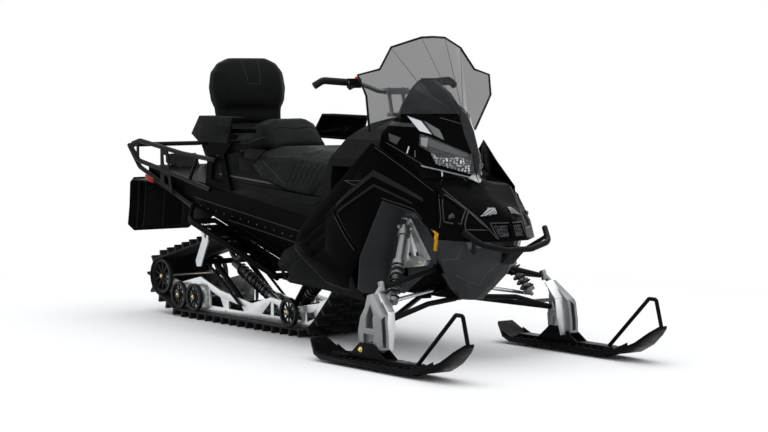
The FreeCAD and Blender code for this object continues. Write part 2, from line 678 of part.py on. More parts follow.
# Wheel well outline, shared by the liners, the bulkhead walls and the reflectors
well_shares = [
    (0.30, 6.03), (0.72, 6.58), (2.50, 7.05), (3.72, 4.44), (4.10, 3.58), (3.84, 2.80), (2.60, 2.80),
    (0.22, 4.30), (-0.20, 5.45),
]
well_rim_shares = [
    (0.30, 6.03), (0.72, 6.58), (2.50, 7.05), (3.72, 4.44), (3.84, 2.79), (3.79, 2.79), (3.67, 4.42),
    (2.47, 7.00), (0.75, 6.53), (0.34, 6.00),
]
well_boss_shares = [(1.20, 6.60), (2.20, 6.84), (2.30, 6.45), (1.25, 6.25)]
well_fold_shares = [(2.40, 5.60), (3.30, 4.20), (3.70, 3.30), (2.80, 3.20)]
well_boss_depth = 16.0

# Suspension points and sizes
upper_ball = stance_at((4.62, 0.35, 3.45))
lower_ball = stance_at((4.75, -0.20, 2.05))
upper_arm_shares = [(1.80, 0.20, 4.08), (1.80, 2.50, 3.80)]
lower_arm_shares = [[(0.75, 0.10, 2.72), (2.5, -0.22, 2.62)], [(0.75, 2.60, 2.62)]]
upper_boss_shares = [(1.30, 0.00, 3.88), (1.75, 0.40, 4.28)], [(1.30, 2.30, 3.60), (1.75, 2.70, 4.00)]
lower_boss_shares = [(0.30, 0.20, 2.62), (0.80, 0.60, 2.92)], [(0.30, 2.40, 2.52), (0.80, 2.80, 2.82)]
tie_shares = [(0.55, 1.00, 3.19), (4.50, 1.00, 2.55)]
tie_radius = 9.0
tie_collar_radius = 17.0
tie_collar_start = 15.0
tie_collar_end = 75.0
ball_room = 22.0
ball_radius = 15.0
link_radius = 12.0
kingpin = (upper_ball - lower_ball).normalize()
tie_inner, tie_outer = path(tie_shares, stance_at)
tie_line = (tie_outer - tie_inner).normalize()

# Bulkhead channel carrying the front arms, and the engine between its walls
bulkhead_sheet = 7.0
bulkhead_shares = [(0.45, 2.66), (1.66, 4.40), (1.66, 6.20)]
bulkhead_span_shares = (0.20, 6.35)
engine_shares = [(0, 0.9, 4.42), (0, 4.8, 7.6)]
bulkhead_solid = front_prism(both_ways(bulkhead_shares), bulkhead_span_shares)
bulkhead_room = bulkhead_solid.translated(Vector(0, 0, bulkhead_sheet))
for shift in (Vector(bulkhead_sheet, 0, 0), Vector(0, bulkhead_sheet, 0)):
    bulkhead_room = bulkhead_room.common(bulkhead_solid.translated(shift))
    bulkhead_room = bulkhead_room.common(bulkhead_solid.translated(-shift))
tie_collar_low = tie_inner + tie_line * tie_collar_start
tie_collar = rod(tie_collar_low, tie_inner + tie_line * tie_collar_end, tie_collar_radius)
tie_bores = both_sides(rod(tie_inner - tie_line * overrun, tie_outer, tie_radius + running_gap))
arm_bosses = [block(corners) for corners in upper_boss_shares + lower_boss_shares]
bulkhead = fused([bulkhead_solid.cut(bulkhead_room)] + both_sides(tie_collar, *arm_bosses))
bulkhead = bulkhead.cut(group(tie_bores))
save("bulkhead", bulkhead)
engine_low, engine_high = path(engine_shares)
engine_half = well_inner - bulkhead_sheet - seat_gap
engine_length = engine_high.y - engine_low.y
engine_tall = engine_high.z - engine_low.z
engine_place = Vector(-engine_half, engine_low.y, engine_low.z)
save("engine_block", Part.makeBox(engine_half * 2, engine_length, engine_tall, engine_place))

# Wheel well liners: inner wall with a moulded boss, and rim ribbon
liner_face = well_inner + liner_sheet
well_wall = side_prism(well_shares, well_inner, liner_face)
well_rim = side_prism(well_rim_shares, well_inner, body_reach).common(inner_body)
well_boss = side_prism(well_boss_shares, liner_face, liner_face + well_boss_depth)
well_fold = side_prism(well_fold_shares, liner_face, liner_face + well_boss_depth)
well_liner = fused([well_wall, well_rim, well_boss, well_fold])
well_liner = well_liner.cut(group(arm_bosses + [tie_collar] + tie_bores))

# Shock towers: plate with a top flange, lightening holes and a folded foot
tower_shares = [(2.02, 6.20), (2.36, 6.20), (2.60, 3.95), (0.75, 4.20), (0.55, 4.45)]
tower_flange_shares = [(1.98, 6.20), (2.40, 6.20), (2.40, 6.25), (1.98, 6.25)]
tower_foot_shares = [(0.55, 4.45), (0.75, 4.20), (1.60, 4.09), (1.60, 4.14), (0.78, 4.25), (0.60, 4.48)]
tower_hole_shares = [(0, 1.55, 4.65), (0, 2.10, 4.60)]
tower_hole_radius = 11.0
tower_face = liner_face + tower_sheet
tower_holes = [cross_rod(place, across(body_share), tower_hole_radius) for place in path(tower_hole_shares)]
tower = fused([
    side_prism(tower_shares, liner_face, tower_face),
    side_prism(tower_flange_shares, liner_face, tower_face + tower_flange),
    side_prism(tower_foot_shares, liner_face, tower_face + tower_flange),
]).cut(group(tower_holes))

# Nose pan below the bumper with a keel and a side step
nose_section_shares = [
    (2.68, [(0.20, -0.60), (0.40, -0.45), (0.50, -0.20), (0.50, 0.20)]),
    (3.30, [(0.20, -1.50), (0.80, -0.80), (1.05, -0.10), (1.05, 0.20)]),
    (3.94, [(0.20, -2.32), (1.10, -1.35), (1.50, -0.10), (1.50, 0.20)]),
    (4.51, [(0.20, -2.65), (1.30, -1.75), (1.95, -0.35), (1.66, 0.20)]),
    (5.44, [(0.30, -2.75), (1.30, -1.95), (2.30, -0.75), (1.66, 0.20)]),
]
nose_step_shares = [(-1.60, 5.44), (-1.60, 4.85), (-1.20, 4.40), (-0.35, 4.40), (-0.35, 5.44)]
nose_slot_shares = [(-2.60, 4.62), (-2.60, 4.86), (-2.30, 5.05), (-2.30, 4.72)]
nose_slot_side_shares = (0.16, 0.50)
nose_solid = plan_loft(nose_section_shares, 0)
nose_step = side_prism(nose_step_shares, 0, body_reach).common(plan_loft(nose_section_shares, trim_proud))
nose_pan = fused([nose_solid] + both_sides(nose_step.cut(nose_solid).cut(hood_solid)))
nose_pan = nose_pan.cut(bulkhead_solid).cut(bulkhead).cut(group(both_sides(well_liner)))
nose_core = plan_loft(nose_section_shares, -trim_proud)
nose_slot = hood_region(nose_slot_shares, nose_slot_side_shares).cut(nose_core)
nose_pan = largest(nose_pan.cut(group(both_sides(nose_slot))))
save("nose_pan", nose_pan)
save("well_liners", *both_sides(well_liner.cut(bulkhead).cut(hood)))

# Front bumper with a centre stem
bumper_half_shares = [(0.7, -3.42, 5.10), (1.87, -3.20, 5.35), (2.29, -2.43, 5.90)]
stem_half_share = 0.35
stem_shares = [(-3.42, 5.06), (-3.30, 5.20), (-2.70, 5.20), (-2.60, 4.40)]
stem_slot_shares = [(-3.05, 5.16), (-2.80, 5.16), (-2.76, 4.80), (-2.92, 4.86)]
strut_shares = [(2.05, -2.87, 5.58), (1.45, -2.05, 4.95)]
bumper_half = path(bumper_half_shares)
bumper = tube(across_path(bumper_half), bumper_tube)
bumper_stem = side_prism(stem_shares, -across(stem_half_share), across(stem_half_share))
bumper_stem = bumper_stem.cut(side_prism(stem_slot_shares, -across(stem_half_share), across(stem_half_share)))
bumper_struts = both_sides(rod(*path(strut_shares), post_tube))
bumper = fused([bumper, bumper_stem] + bumper_struts).cut(nose_pan).cut(nose_solid).cut(trim_skin)
save("front_bumper", largest(bumper))

# Reflectors
amber_shares = [
    (0.14, 6.10), (-0.33, 5.70), (-0.12, 4.94), (-0.28, 4.92), (-0.56, 5.70), (-0.22, 5.88),
]
amber_proud = 5.0
amber_region = side_prism(amber_shares, well_inner, body_reach)
amber_skin = fused([plan_loft(nose_section_shares, amber_proud), plan_loft(hood_section_shares, amber_proud)])
amber = amber_region.common(amber_skin).cut(hood_solid).cut(nose_pan).cut(side_panel)
save("amber_reflectors", *both_sides(largest(amber)))

# Front arms
knuckle = Vector(-ball_room, 0, 0)
upper_tubes = [tube([point, upper_ball + knuckle], arm_tube) for point in path(upper_arm_shares, stance_at)]
lower_tubes = []
for place_shares in lower_arm_shares:
    lower_tubes.append(tube(path(place_shares, stance_at) + [lower_ball + knuckle], arm_tube))
upper_arm = fused(upper_tubes).cut(bulkhead)
lower_arm = fused(lower_tubes).cut(bulkhead)
save("front_arms", *both_sides(upper_arm, lower_arm))

# Front shocks: damper, collars and spring coils on one line
shock_shares = [(2.20, 1.85, 5.89), (4.05, 0.45, 2.55)]
shock_bolt_shares = [(1.76, 2.15, 5.89), (2.5, 1.95, 5.89)]
shock_body_radius = 20.0
shock_tube_radius = 16.0
shock_rod_radius = 8.0
shock_collar_radius = 31.0
shock_body_end_share = 0.46
shock_tube_end_share = 0.92
shock_collar_shares = [(0.06, 0.12), (0.44, 0.49), (0.90, 0.95)]
spring_span_shares = (0.52, 0.88)
spring_coil_count = 6
spring_radius = 21.0
spring_wire = 6.0
shock_top, shock_low = path(shock_shares, stance_at)
shock_line = shock_low - shock_top


def on_shock(share):
    return shock_top + shock_line * share


shock_parts = [
    rod(shock_top, on_shock(shock_body_end_share), shock_body_radius),
    rod(on_shock(shock_body_end_share), on_shock(shock_tube_end_share), shock_tube_radius),
    rod(on_shock(shock_tube_end_share), shock_low, shock_rod_radius),
    rod(*path(shock_bolt_shares), bolt_radius),
]
for first, last in shock_collar_shares:
    shock_parts.append(rod(on_shock(first), on_shock(last), shock_collar_radius - spring_wire / 2))
for index in range(spring_coil_count):
    first, last = spring_span_shares
    share = first + (last - first) * index / (spring_coil_count - 1)
    shock_parts.append(Part.makeTorus(spring_radius, spring_wire, on_shock(share), shock_line))
front_shock = fused(shock_parts)
save("front_shocks", *both_sides(largest(front_shock.cut(upper_arm).cut(lower_arm).cut(well_liner))))
save("shock_towers", *both_sides(largest(tower.cut(bulkhead).cut(front_shock).cut(well_liner))))

# Tie rods
tie = rod(tie_inner, tie_outer, tie_radius)
save("tie_rod_left", tie)
save("tie_rod_right", mirrored(tie))

# Spindles: cast plate with windows, ball bosses and a steering arm
spindle_side_shares = [(-0.90, 0.85), (-0.90, 1.40), (-0.75, 2.37), (0.20, 3.20), (0.55, 3.10), (0.45, 2.60),
                       (0.70, 1.60), (0.60, 0.75), (0.35, 0.62), (-0.35, 0.62)]
spindle_window_shares = [
    [(-0.40, 1.08), (-0.45, 1.50), (0.30, 1.50), (0.30, 1.08)],
    [(-0.40, 1.75), (-0.32, 2.35), (0.15, 2.75), (0.15, 1.75)],
]
spindle_foot_share = 5.65
spindle_front_shares = [
    (4.85, 3.60), (5.05, 3.60), (5.62, 2.20), (spindle_foot_share, 0.48), (5.15, 0.48), (5.15, 2.00),
]
spindle_pocket_shares = [(5.27, 2.30), (5.48, 2.15), (5.50, 0.95), (5.30, 0.95)]
spindle_span_shares = (-2.0, 2.0)
spindle_pocket_span_shares = (-1.0, -0.62)
spindle_side_span_shares = (4.6, 5.8)
spindle_side = [across(share, stance_step) for share in spindle_side_span_shares]
lower_link_shares = (5.3, -0.30, 2.05)
upper_link_shares = (4.98, 0.25, 3.10)
steer_arm_shares = [(5.30, 0.20, 2.30), (4.50, 1.00, 2.20)]
spindle = side_prism(spindle_side_shares, *spindle_side)
spindle = spindle.common(front_prism(spindle_front_shares, spindle_span_shares, stance_at))
for outline in spindle_window_shares:
    spindle = spindle.cut(side_prism(outline, *spindle_side))
spindle = spindle.cut(front_prism(spindle_pocket_shares, spindle_pocket_span_shares, stance_at))
spindle_joints = [
    rod(lower_ball - kingpin * ball_room, lower_ball + kingpin * ball_room, ball_radius),
    rod(upper_ball - kingpin * ball_room, upper_ball + kingpin * ball_room, ball_radius),
    rod(lower_ball, stance_at(lower_link_shares), link_radius),
    rod(upper_ball, stance_at(upper_link_shares), link_radius),
    rod(*path(steer_arm_shares, stance_at), tie_radius),
]
ski_bolt = Vector(ski_stance / 2, along(0), ski_bolt_height)
spindle = fused([spindle] + spindle_joints).cut(cross_rod(ski_bolt, ski_width, bolt_radius + running_gap))
save("spindle_left", spindle)
save("spindle_right", mirrored(spindle))

# Skis: curved deck with lips, ridge, runner, saddle and front loop
ski_width_shares = 1.52
ski_low_shares = [
    (4.10, 0.80), (3.40, 0.30), (2.90, 0.12), (-3.60, 0.12), (-4.60, 0.30), (-5.60, 0.75), (-6.70, 1.55),
]
ski_top_shares = [
    (-6.75, 1.70), (-5.55, 0.90), (-4.50, 0.44), (-3.55, 0.26), (2.85, 0.26), (3.35, 0.44), (4.05, 0.95),
]
ski_lip_shares = [(-5.50, 1.02), (-4.45, 0.54), (-3.50, 0.36), (2.80, 0.36), (3.30, 0.54), (3.60, 0.70)]
ski_plan_shares = [(0.40, 4.15), (0.72, 3.4), (0.76, -3.6), (0.70, -5.0), (0.45, -6.3), (0.22, -6.8)]
ski_ridge_shares = [(3.2, 0.2), (2.6, 0.50), (-3.4, 0.50), (-4.4, 0.3)]
runner_shares = [(2.8, 0.13), (2.4, 0), (-3.2, 0), (-3.9, 0.16)]
saddle_shares = [(1.3, 0.45), (0.45, 1.10), (-0.45, 1.10), (-1.5, 0.45)]
loop_shares = [(-3.24, 0.45), (-5.85, 2.83), (-6.30, 2.83), (-6.66, 1.60)]
lip_width = 10.0
ski_centre = ski_bolt.x
ski_half = ski_width / 2
ski_outline = ski_points(ski_low_shares + ski_top_shares)
ski_body = cross_slab(ski_outline, ski_centre - ski_half, ski_centre + ski_half)
lip_outline = ski_points(ski_lip_shares + ski_low_shares[1:-1])
ski_lips = cross_slab(lip_outline, ski_centre - ski_half, ski_centre + ski_half)
lip_half = ski_half - lip_width
ski_lips = ski_lips.cut(cross_slab(lip_outline, ski_centre - lip_half, ski_centre + lip_half))
ski_plan = []
for width_share, length_share in both_ways(ski_plan_shares):
    width = width_share / ski_width_shares * ski_width
    ski_plan.append(Vector(ski_centre + width, ski_bolt.y + length_share * ski_step, -overrun))
ski_region = slab(ski_plan, Vector(0, 0, overall_height))
saddle_half = across(spindle_foot_share, stance_step) - ski_centre + fit_gap
saddle_parts = []
for side in (-1, 1):
    near = ski_centre + side * saddle_half
    far = near + side * saddle_sheet
    saddle_parts.append(cross_slab(ski_points(saddle_shares), min(near, far), max(near, far)))
ridge_half = ski_ridge_width / 2
runner_half = runner_width / 2
ridge = cross_slab(ski_points(ski_ridge_shares), ski_centre - ridge_half, ski_centre + ridge_half)
runner = cross_slab(ski_points(runner_shares), ski_centre - runner_half, ski_centre + runner_half)
loop = tube([point + Vector(ski_centre, 0, 0) for point in ski_points(loop_shares)], loop_tube, loop_bend)
saddle_bolt = cross_rod(ski_bolt, saddle_half + saddle_sheet, bolt_radius)
ski_deck = ski_body.common(ski_region)
ski = fused([ski_deck, ski_lips.common(ski_region), ridge, runner, saddle_bolt, loop] + saddle_parts)
save("ski_left", ski)
save("ski_right", mirrored(ski))

# Track loop: path round the drive sprocket, runners, rear idler and upper carrier wheel
drive_shares = (0, 7.75, 0)
front_turn_shares = (0, 10.9, 0)
rear_turn_shares = (0, 22.12, 0)
idler_shares = (0, 23.78, 0)
top_turn_shares = (0, 16.50, 0)
arc_step_degrees = 12.0
drive_centre = at(drive_shares) + Vector(0, 0, drive_height)
front_turn = at(front_turn_shares) + Vector(0, 0, belt_bottom + front_turn_radius)
rear_turn = at(rear_turn_shares) + Vector(0, 0, belt_bottom + bogie_radius)
idler_centre = at(idler_shares) + Vector(0, 0, idler_height)
top_turn = at(top_turn_shares) + Vector(0, 0, carrier_wheel_height)
track_circles = [
    (drive_centre, sprocket_radius), (front_turn, front_turn_radius), (rear_turn, bogie_radius),
    (idler_centre, idler_radius), (top_turn, bogie_radius),
]


def facing(angle):
    return Vector(0, math.cos(angle), math.sin(angle))


def tangent_normal(first, second):
    line = second[0] - first[0]
    tilt = math.asin((second[1] - first[1]) / line.Length)
    return math.atan2(line.z, line.y) - math.pi / 2 - tilt


circle_count = len(track_circles)
normals = []
for index in range(circle_count):
    normals.append(tangent_normal(track_circles[index], track_circles[(index + 1) % circle_count]))
path_points = []
for index in range(circle_count):
    centre, radius = track_circles[index]
    sweep = (normals[index] - normals[index - 1]) % (2 * math.pi)
    arc_steps = max(2, math.ceil(math.degrees(sweep) / arc_step_degrees))
    for step in range(arc_steps + 1):
        path_points.append(centre + facing(normals[index - 1] + sweep * step / arc_steps) * radius)
path_lengths = [0.0]
for first, second in zip(path_points, path_points[1:] + path_points[:1]):
    path_lengths.append(path_lengths[-1] + (second - first).Length)
loop_length = path_lengths[-1]
track_pitch = loop_length / track_pitch_count


def on_path(distance):
    distance = distance % loop_length
    index = 0
    while path_lengths[index + 1] < distance:
        index += 1
    first = path_points[index]
    step = path_points[(index + 1) % len(path_points)] - first
    share = (distance - path_lengths[index]) / (path_lengths[index + 1] - path_lengths[index])
    point = first + step * share
    line = step.normalize()
    return point, line, Vector(0, line.z, -line.y)


def track_band(low, high, phase):
    outline = []
    lug_profile = [
        (-lug_foot / 2, 0), (-lug_crest / 2, track_lug), (lug_crest / 2, track_lug), (lug_foot / 2, 0),
        (track_pitch / 2, 0),
    ]
    for index in range(track_pitch_count):
        middle = (index + phase) * track_pitch
        for offset, height in lug_profile:
            if height:
                point, line, outward = on_path(middle)
                point = point + line * offset
            else:
                point, line, outward = on_path(middle + offset)
            outline.append(point + outward * (track_belt + height))
    return cross_slab(outline, low, high).cut(cross_slab(path_points, low - overrun, high + overrun))


band_edge_shares = [-1.0, -0.62, -0.30, 0.30, 0.62, 1.0]
band_phase_shares = [0.0, 0.5, 0.0, 0.5, 0.0]
track_half = track_width / 2
bands = []
for index, phase in enumerate(band_phase_shares):
    low_edge = band_edge_shares[index] * track_half
    bands.append(track_band(low_edge, band_edge_shares[index + 1] * track_half, phase))
save("track", *bands)

# Slide rails with lightening windows
rail_inner_share = 1.30
rail_shares = [
    (8.55, 1.98), (9.10, 1.45), (9.55, 1.02), (9.95, 0.72), (10.45, 0.51), (10.90, 0.42), (22.30, 0.42),
    (23.30, 0.95), (24.30, 1.60), (24.30, 2.10), (22.40, 1.75), (20.51, 2.17), (18.60, 1.60), (15.69, 1.19),
    (13.97, 1.64), (11.60, 1.40), (9.80, 1.70), (8.75, 2.15),
]
rail_window_shares = [
    [(11.2, 0.75), (12.6, 0.75), (12.4, 1.20), (11.4, 1.12)],
    [(13.0, 0.75), (13.7, 0.75), (13.7, 1.38), (13.3, 1.28)],
    [(13.95, 0.75), (14.75, 0.75), (13.95, 1.42)],
    [(16.4, 0.72), (17.8, 0.72), (17.8, 1.15), (16.6, 0.98)],
    [(18.3, 0.75), (19.6, 0.75), (19.6, 1.55), (18.6, 1.25)],
    [(10.1, 0.95), (10.8, 0.72), (10.8, 1.15), (10.2, 1.25)],
]
rail_inner = across(rail_inner_share)
rail_outer = rail_inner + rail_sheet
rail = cross_slab(rail_points(rail_shares), rail_inner, rail_outer)
for outline in rail_window_shares:
    rail = rail.cut(cross_slab(rail_points(outline), rail_inner - overrun, rail_outer + overrun))

# Wheels with spokes and their axles
wheel_share = 1.70
disc_share = 0.9
bogie_station_shares = [11.90, 20.62, 22.12]
drive_shaft_radius = 16.0
disc_width = 24.0
wheel_centre = across(wheel_share)
wheel_edge = wheel_centre + wheel_width / 2
centre_point = Vector(0, 0, 0)


def wheel(radius):
    rim_inner = radius - wheel_rim
    rim = cross_rod(centre_point, wheel_width / 2, radius)
    hub = cross_rod(centre_point, wheel_width / 2, wheel_hub)
    parts = [rim.cut(cross_rod(centre_point, wheel_width, rim_inner)), hub]
    spoke_low = wheel_hub - wheel_spoke
    for index in range(wheel_spoke_count):
        spoke = Part.makeBox(wheel_web, wheel_spoke, rim_inner + wheel_spoke - spoke_low,
                             Vector(-wheel_web / 2, -wheel_spoke / 2, spoke_low))
        spoke.rotate(centre_point, Vector(1, 0, 0), 360 * index / wheel_spoke_count)
        parts.append(spoke)
    return fused(parts).cut(cross_rod(centre_point, wheel_width, axle_radius + running_gap))


bogie_wheel = wheel(bogie_radius - wheel_gap)
idler_wheel = wheel(idler_radius - wheel_gap)
wheel_offset = Vector(wheel_centre, 0, 0)
wheels = []
axles = []
for station_share in bogie_station_shares:
    centre = Vector(0, along(station_share), belt_bottom + bogie_radius)
    wheels.extend(both_sides(bogie_wheel.translated(centre + wheel_offset)))
    axles.append(cross_rod(centre, wheel_edge, axle_radius))
wheels.extend(both_sides(idler_wheel.translated(idler_centre + wheel_offset)))
axles.append(cross_rod(idler_centre, wheel_edge, axle_radius))
wheels.extend(both_sides(bogie_wheel.translated(top_turn + wheel_offset)))
axles.append(cross_rod(top_turn, tunnel_inner, axle_radius))
save("wheels", *wheels)
rail = rail.cut(group(axles))
drive_shaft = cross_rod(drive_centre, tunnel_inner, drive_shaft_radius)
disc_centre = drive_centre + Vector(across(disc_share), 0, 0)
drive_disc = cross_rod(disc_centre, disc_width / 2, sprocket_radius - wheel_gap)
save("axles", fused([drive_shaft] + both_sides(drive_disc)), *axles)

# Skid arms between the tunnel and the rails, with their cross tubes
front_arm_shares = [(1.0, 10.6, 3.45), (1.0, 12.6, 1.12)]
rear_arm_shares = [(1.0, 19.70, 3.00), (1.0, 16.9, 1.05)]
rear_link_shares = [(1.50, 19.70, 3.00), (1.48, 16.54, 1.00)]
bracket_shares = [
    (18.60, 5.95), (19.70, 6.10), (19.35, 4.20), (19.98, 3.08), (19.88, 2.78), (19.48, 2.80), (18.78, 4.10),
]
bracket_window_shares = [(18.95, 5.45), (19.35, 5.55), (19.10, 4.30), (18.96, 4.30)]
bracket_sheet = 7.0
link_tube = 7.0
bracket_inner = tunnel_inner - bracket_sheet


def cross_tube(place, half_length):
    return cross_rod(Vector(0, place.y, place.z), half_length, skid_tube)


front_pivot, front_foot = path(front_arm_shares)
rear_pivot, rear_foot = path(rear_arm_shares)
front_frame = fused([cross_tube(front_pivot, tunnel_inner), cross_tube(front_foot, rail_inner)]
                    + both_sides(rod(front_pivot, front_foot, skid_tube)))
rear_rods = both_sides(rod(rear_pivot, rear_foot, skid_tube), rod(*path(rear_link_shares), link_tube))
rear_frame = fused([cross_tube(rear_pivot, bracket_inner), cross_tube(rear_foot, rail_inner)] + rear_rods)
rear_frame = rear_frame.cut(group(both_sides(rail)))
save("skid_arms", front_frame, rear_frame)
save("slide_rails", *both_sides(rail.cut(rear_frame).cut(front_frame)))
bracket = side_prism(bracket_shares, bracket_inner, tunnel_inner)
bracket = bracket.cut(side_prism(bracket_window_shares, bracket_inner, tunnel_inner))
save("drop_brackets", *both_sides(bracket))

# Skid shocks with their spring coils and cross pins
front_damper_shares = [(0, 10.9, 3.1), (0, 13.4, 1.2)]
rear_damper_shares = [(0, 15.1, 1.05), (0, 19.4, 2.90)]
damper_radius = 20.0
damper_coil = 5.0
damper_coil_count = 8
damper_span_shares = (0.25, 0.85)


def damper(place_shares):
    start, end = path(place_shares)
    parts = [rod(start, end, damper_radius)]
    for index in range(damper_coil_count):
        first, last = damper_span_shares
        share = first + (last - first) * index / (damper_coil_count - 1)
        middle = start + (end - start) * share
        parts.append(Part.makeTorus(damper_radius + damper_coil / 2, damper_coil, middle, end - start))
    return parts


front_pin = cross_rod(at(front_damper_shares[1]), rail_inner, axle_radius)
rear_pin = cross_rod(at(rear_damper_shares[0]), rail_inner, axle_radius)
front_unit = fused(damper(front_damper_shares) + [front_pin]).cut(front_frame)
rear_unit = fused(damper(rear_damper_shares) + [rear_pin]).cut(rear_frame)
save("skid_shocks", largest(front_unit), largest(rear_unit))
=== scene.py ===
import json
import math
from contextlib import contextmanager

import bpy
from mathutils import Matrix, Quaternion, Vector
from mathutils.bvhtree import BVHTree

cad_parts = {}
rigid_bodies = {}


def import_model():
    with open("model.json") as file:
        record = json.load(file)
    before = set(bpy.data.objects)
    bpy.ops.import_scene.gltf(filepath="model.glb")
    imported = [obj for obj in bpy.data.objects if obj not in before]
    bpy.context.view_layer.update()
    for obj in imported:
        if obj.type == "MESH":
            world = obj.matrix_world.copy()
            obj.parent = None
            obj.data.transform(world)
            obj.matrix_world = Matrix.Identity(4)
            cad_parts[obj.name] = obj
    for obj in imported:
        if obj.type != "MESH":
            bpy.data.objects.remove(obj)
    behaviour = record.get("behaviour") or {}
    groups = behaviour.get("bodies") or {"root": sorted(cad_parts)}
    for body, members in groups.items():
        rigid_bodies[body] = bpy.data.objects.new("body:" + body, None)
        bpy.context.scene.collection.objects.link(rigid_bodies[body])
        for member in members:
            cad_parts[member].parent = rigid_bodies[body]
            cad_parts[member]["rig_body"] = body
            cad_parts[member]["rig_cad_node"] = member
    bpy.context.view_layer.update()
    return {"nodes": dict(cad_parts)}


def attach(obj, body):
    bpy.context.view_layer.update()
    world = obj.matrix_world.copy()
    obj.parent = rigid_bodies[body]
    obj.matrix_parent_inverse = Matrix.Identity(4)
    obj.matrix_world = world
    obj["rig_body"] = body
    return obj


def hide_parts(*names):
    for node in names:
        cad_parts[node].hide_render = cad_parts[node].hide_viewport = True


bl_info = {
    "name": "Touring Snowmobile",
    "version": (1, 0, 0),
    "blender": (4, 5, 0),
    "location": "View3D > Sidebar > Snowmobile",
    "description": "Finishes, upholstery, lamps, trim and hardware of a two-seat touring snowmobile",
    "category": "Object",
}

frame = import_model()
nodes = frame["nodes"]
finishes = {}
surfaces = {}

# Sides that the machine is looked at from
SIDE = Vector((-1.0, 0.0, 0.0))
FRONT = Vector((0.0, -1.0, 0.0))
ABOVE = Vector((0.0, 0.0, 1.0))

# Metres from the machine at which rays start, and below which corners, or the ends of an outline, are one
RAY_START = 4.0
MERGE_DISTANCE = 0.00002
CLOSING_DISTANCE = 0.0001

# Faces of a CAD part within this angle are one face, and a skin's faces have this share turned to its view
FLAT_ANGLE = math.radians(0.6)
FACING_SHARE = 0.12

# Frames for which a cover swells, and steps in one turn of a spring coil
CLOTH_FRAMES = 20
STEPS_IN_TURN = 14


# Settings that a user would change
class BodySettings(bpy.types.PropertyGroup):
    gloss_colour: bpy.props.FloatVectorProperty(
        name="Gloss paint", description="Colour of the hood and side panels",
        subtype="COLOR", size=3, default=(0.0016, 0.0017, 0.0019))
    satin_colour: bpy.props.FloatVectorProperty(
        name="Satin plastic", description="Colour of the moulded trim panels",
        subtype="COLOR", size=3, default=(0.0048, 0.0052, 0.0055))
    edge_radius: bpy.props.FloatProperty(
        name="Edge radius", description="Rounding along the folded panel edges",
        subtype="DISTANCE", unit="LENGTH", default=0.0035, min=0.0005)
    glass_tint: bpy.props.FloatProperty(
        name="Windshield tint", description="Share of light that one face of the windshield keeps back",
        subtype="FACTOR", default=0.50, min=0.0, max=1.0)


class MetalSettings(bpy.types.PropertyGroup):
    silver_colour: bpy.props.FloatVectorProperty(
        name="Cast silver", description="Colour of the spindles, towers and slide rails",
        subtype="COLOR", size=3, default=(0.56, 0.58, 0.59))
    bolt_colour: bpy.props.FloatVectorProperty(
        name="Zinc bolts", description="Colour of the yellow zinc fasteners",
        subtype="COLOR", size=3, default=(0.72, 0.55, 0.24))
    tube_colour: bpy.props.FloatVectorProperty(
        name="Frame tube", description="Colour of the powder coated tubes",
        subtype="COLOR", size=3, default=(0.0045, 0.0046, 0.005))


class SeatSettings(bpy.types.PropertyGroup):
    vinyl_colour: bpy.props.FloatVectorProperty(
        name="Cushion vinyl", description="Colour of the plain seat cover",
        subtype="COLOR", size=3, default=(0.0066, 0.0072, 0.0075))
    cloth_voxel: bpy.props.FloatProperty(
        name="Cover mesh", description="Mesh size of the padded cover",
        subtype="DISTANCE", unit="LENGTH", default=0.0075, min=0.003)
    cloth_pressure: bpy.props.FloatProperty(
        name="Foam pressure", description="Pressure that swells the padded cover", default=2.0, min=0.0)
    swell_limit: bpy.props.FloatProperty(
        name="Swell limit", description="Furthest that the cover may stand proud of its foam",
        subtype="DISTANCE", unit="LENGTH", default=0.005, min=0.0)


class StageSettings(bpy.types.PropertyGroup):
    camera_place: bpy.props.FloatVectorProperty(
        name="Camera", description="Place of the camera",
        subtype="XYZ", size=3, default=(-6.139, -8.674, 1.303))
    camera_turn: bpy.props.FloatProperty(
        name="Camera turn", description="Heading of the camera, from the tail towards the left side",
        subtype="ANGLE", default=math.radians(36.43))
    camera_dip: bpy.props.FloatProperty(
        name="Camera dip", description="Angle of the camera below level",
        subtype="ANGLE", default=math.radians(3.88))
    lens: bpy.props.FloatProperty(
        name="Lens", description="Focal length on a 36 mm frame", unit="CAMERA", default=103.7)
    floor_size: bpy.props.FloatProperty(
        name="Floor", description="Side of the pale floor", subtype="DISTANCE", unit="LENGTH", default=60.0)


def settings(group):
    return getattr(bpy.context.scene, "snowmobile_" + group)


# Selection and mesh helpers
def select_none():
    bpy.ops.object.select_all(action="DESELECT")


def only(obj):
    select_none()
    obj.select_set(True)
    bpy.context.view_layer.objects.active = obj
    return obj


@contextmanager
def editing():
    bpy.ops.object.mode_set(mode="EDIT")
    bpy.ops.mesh.select_all(action="SELECT")
    yield
    bpy.ops.object.mode_set(mode="OBJECT")


def applied(obj, name, kind, **values):
    only(obj)
    modifier = obj.modifiers.new(name, kind)
    for key, value in values.items():
        setattr(modifier, key, value)
    bpy.ops.object.modifier_apply(modifier=modifier.name)
    return obj


def bevel(obj, width, segments=2, degrees=28.0):
    return applied(obj, "Rounded edges", "BEVEL", width=width, segments=segments, limit_method="ANGLE",
                   angle_limit=math.radians(degrees), miter_outer="MITER_ARC")


def thickened(obj, thickness, offset=0.0):
    return applied(obj, "Sheet", "SOLIDIFY", thickness=thickness, offset=offset)


def settle(obj):
    only(obj)
    bpy.ops.object.transform_apply(location=True, rotation=True, scale=True)
    return obj


def join(name, parts):
    joined = only(parts[0])
    for part in parts:
        part.select_set(True)
    if len(parts) > 1:
        bpy.ops.object.join()
    joined.name = name
    return joined


def smooth(obj, degrees=32.0):
    only(obj)
    bpy.ops.object.shade_smooth_by_angle(angle=math.radians(degrees))
    return obj


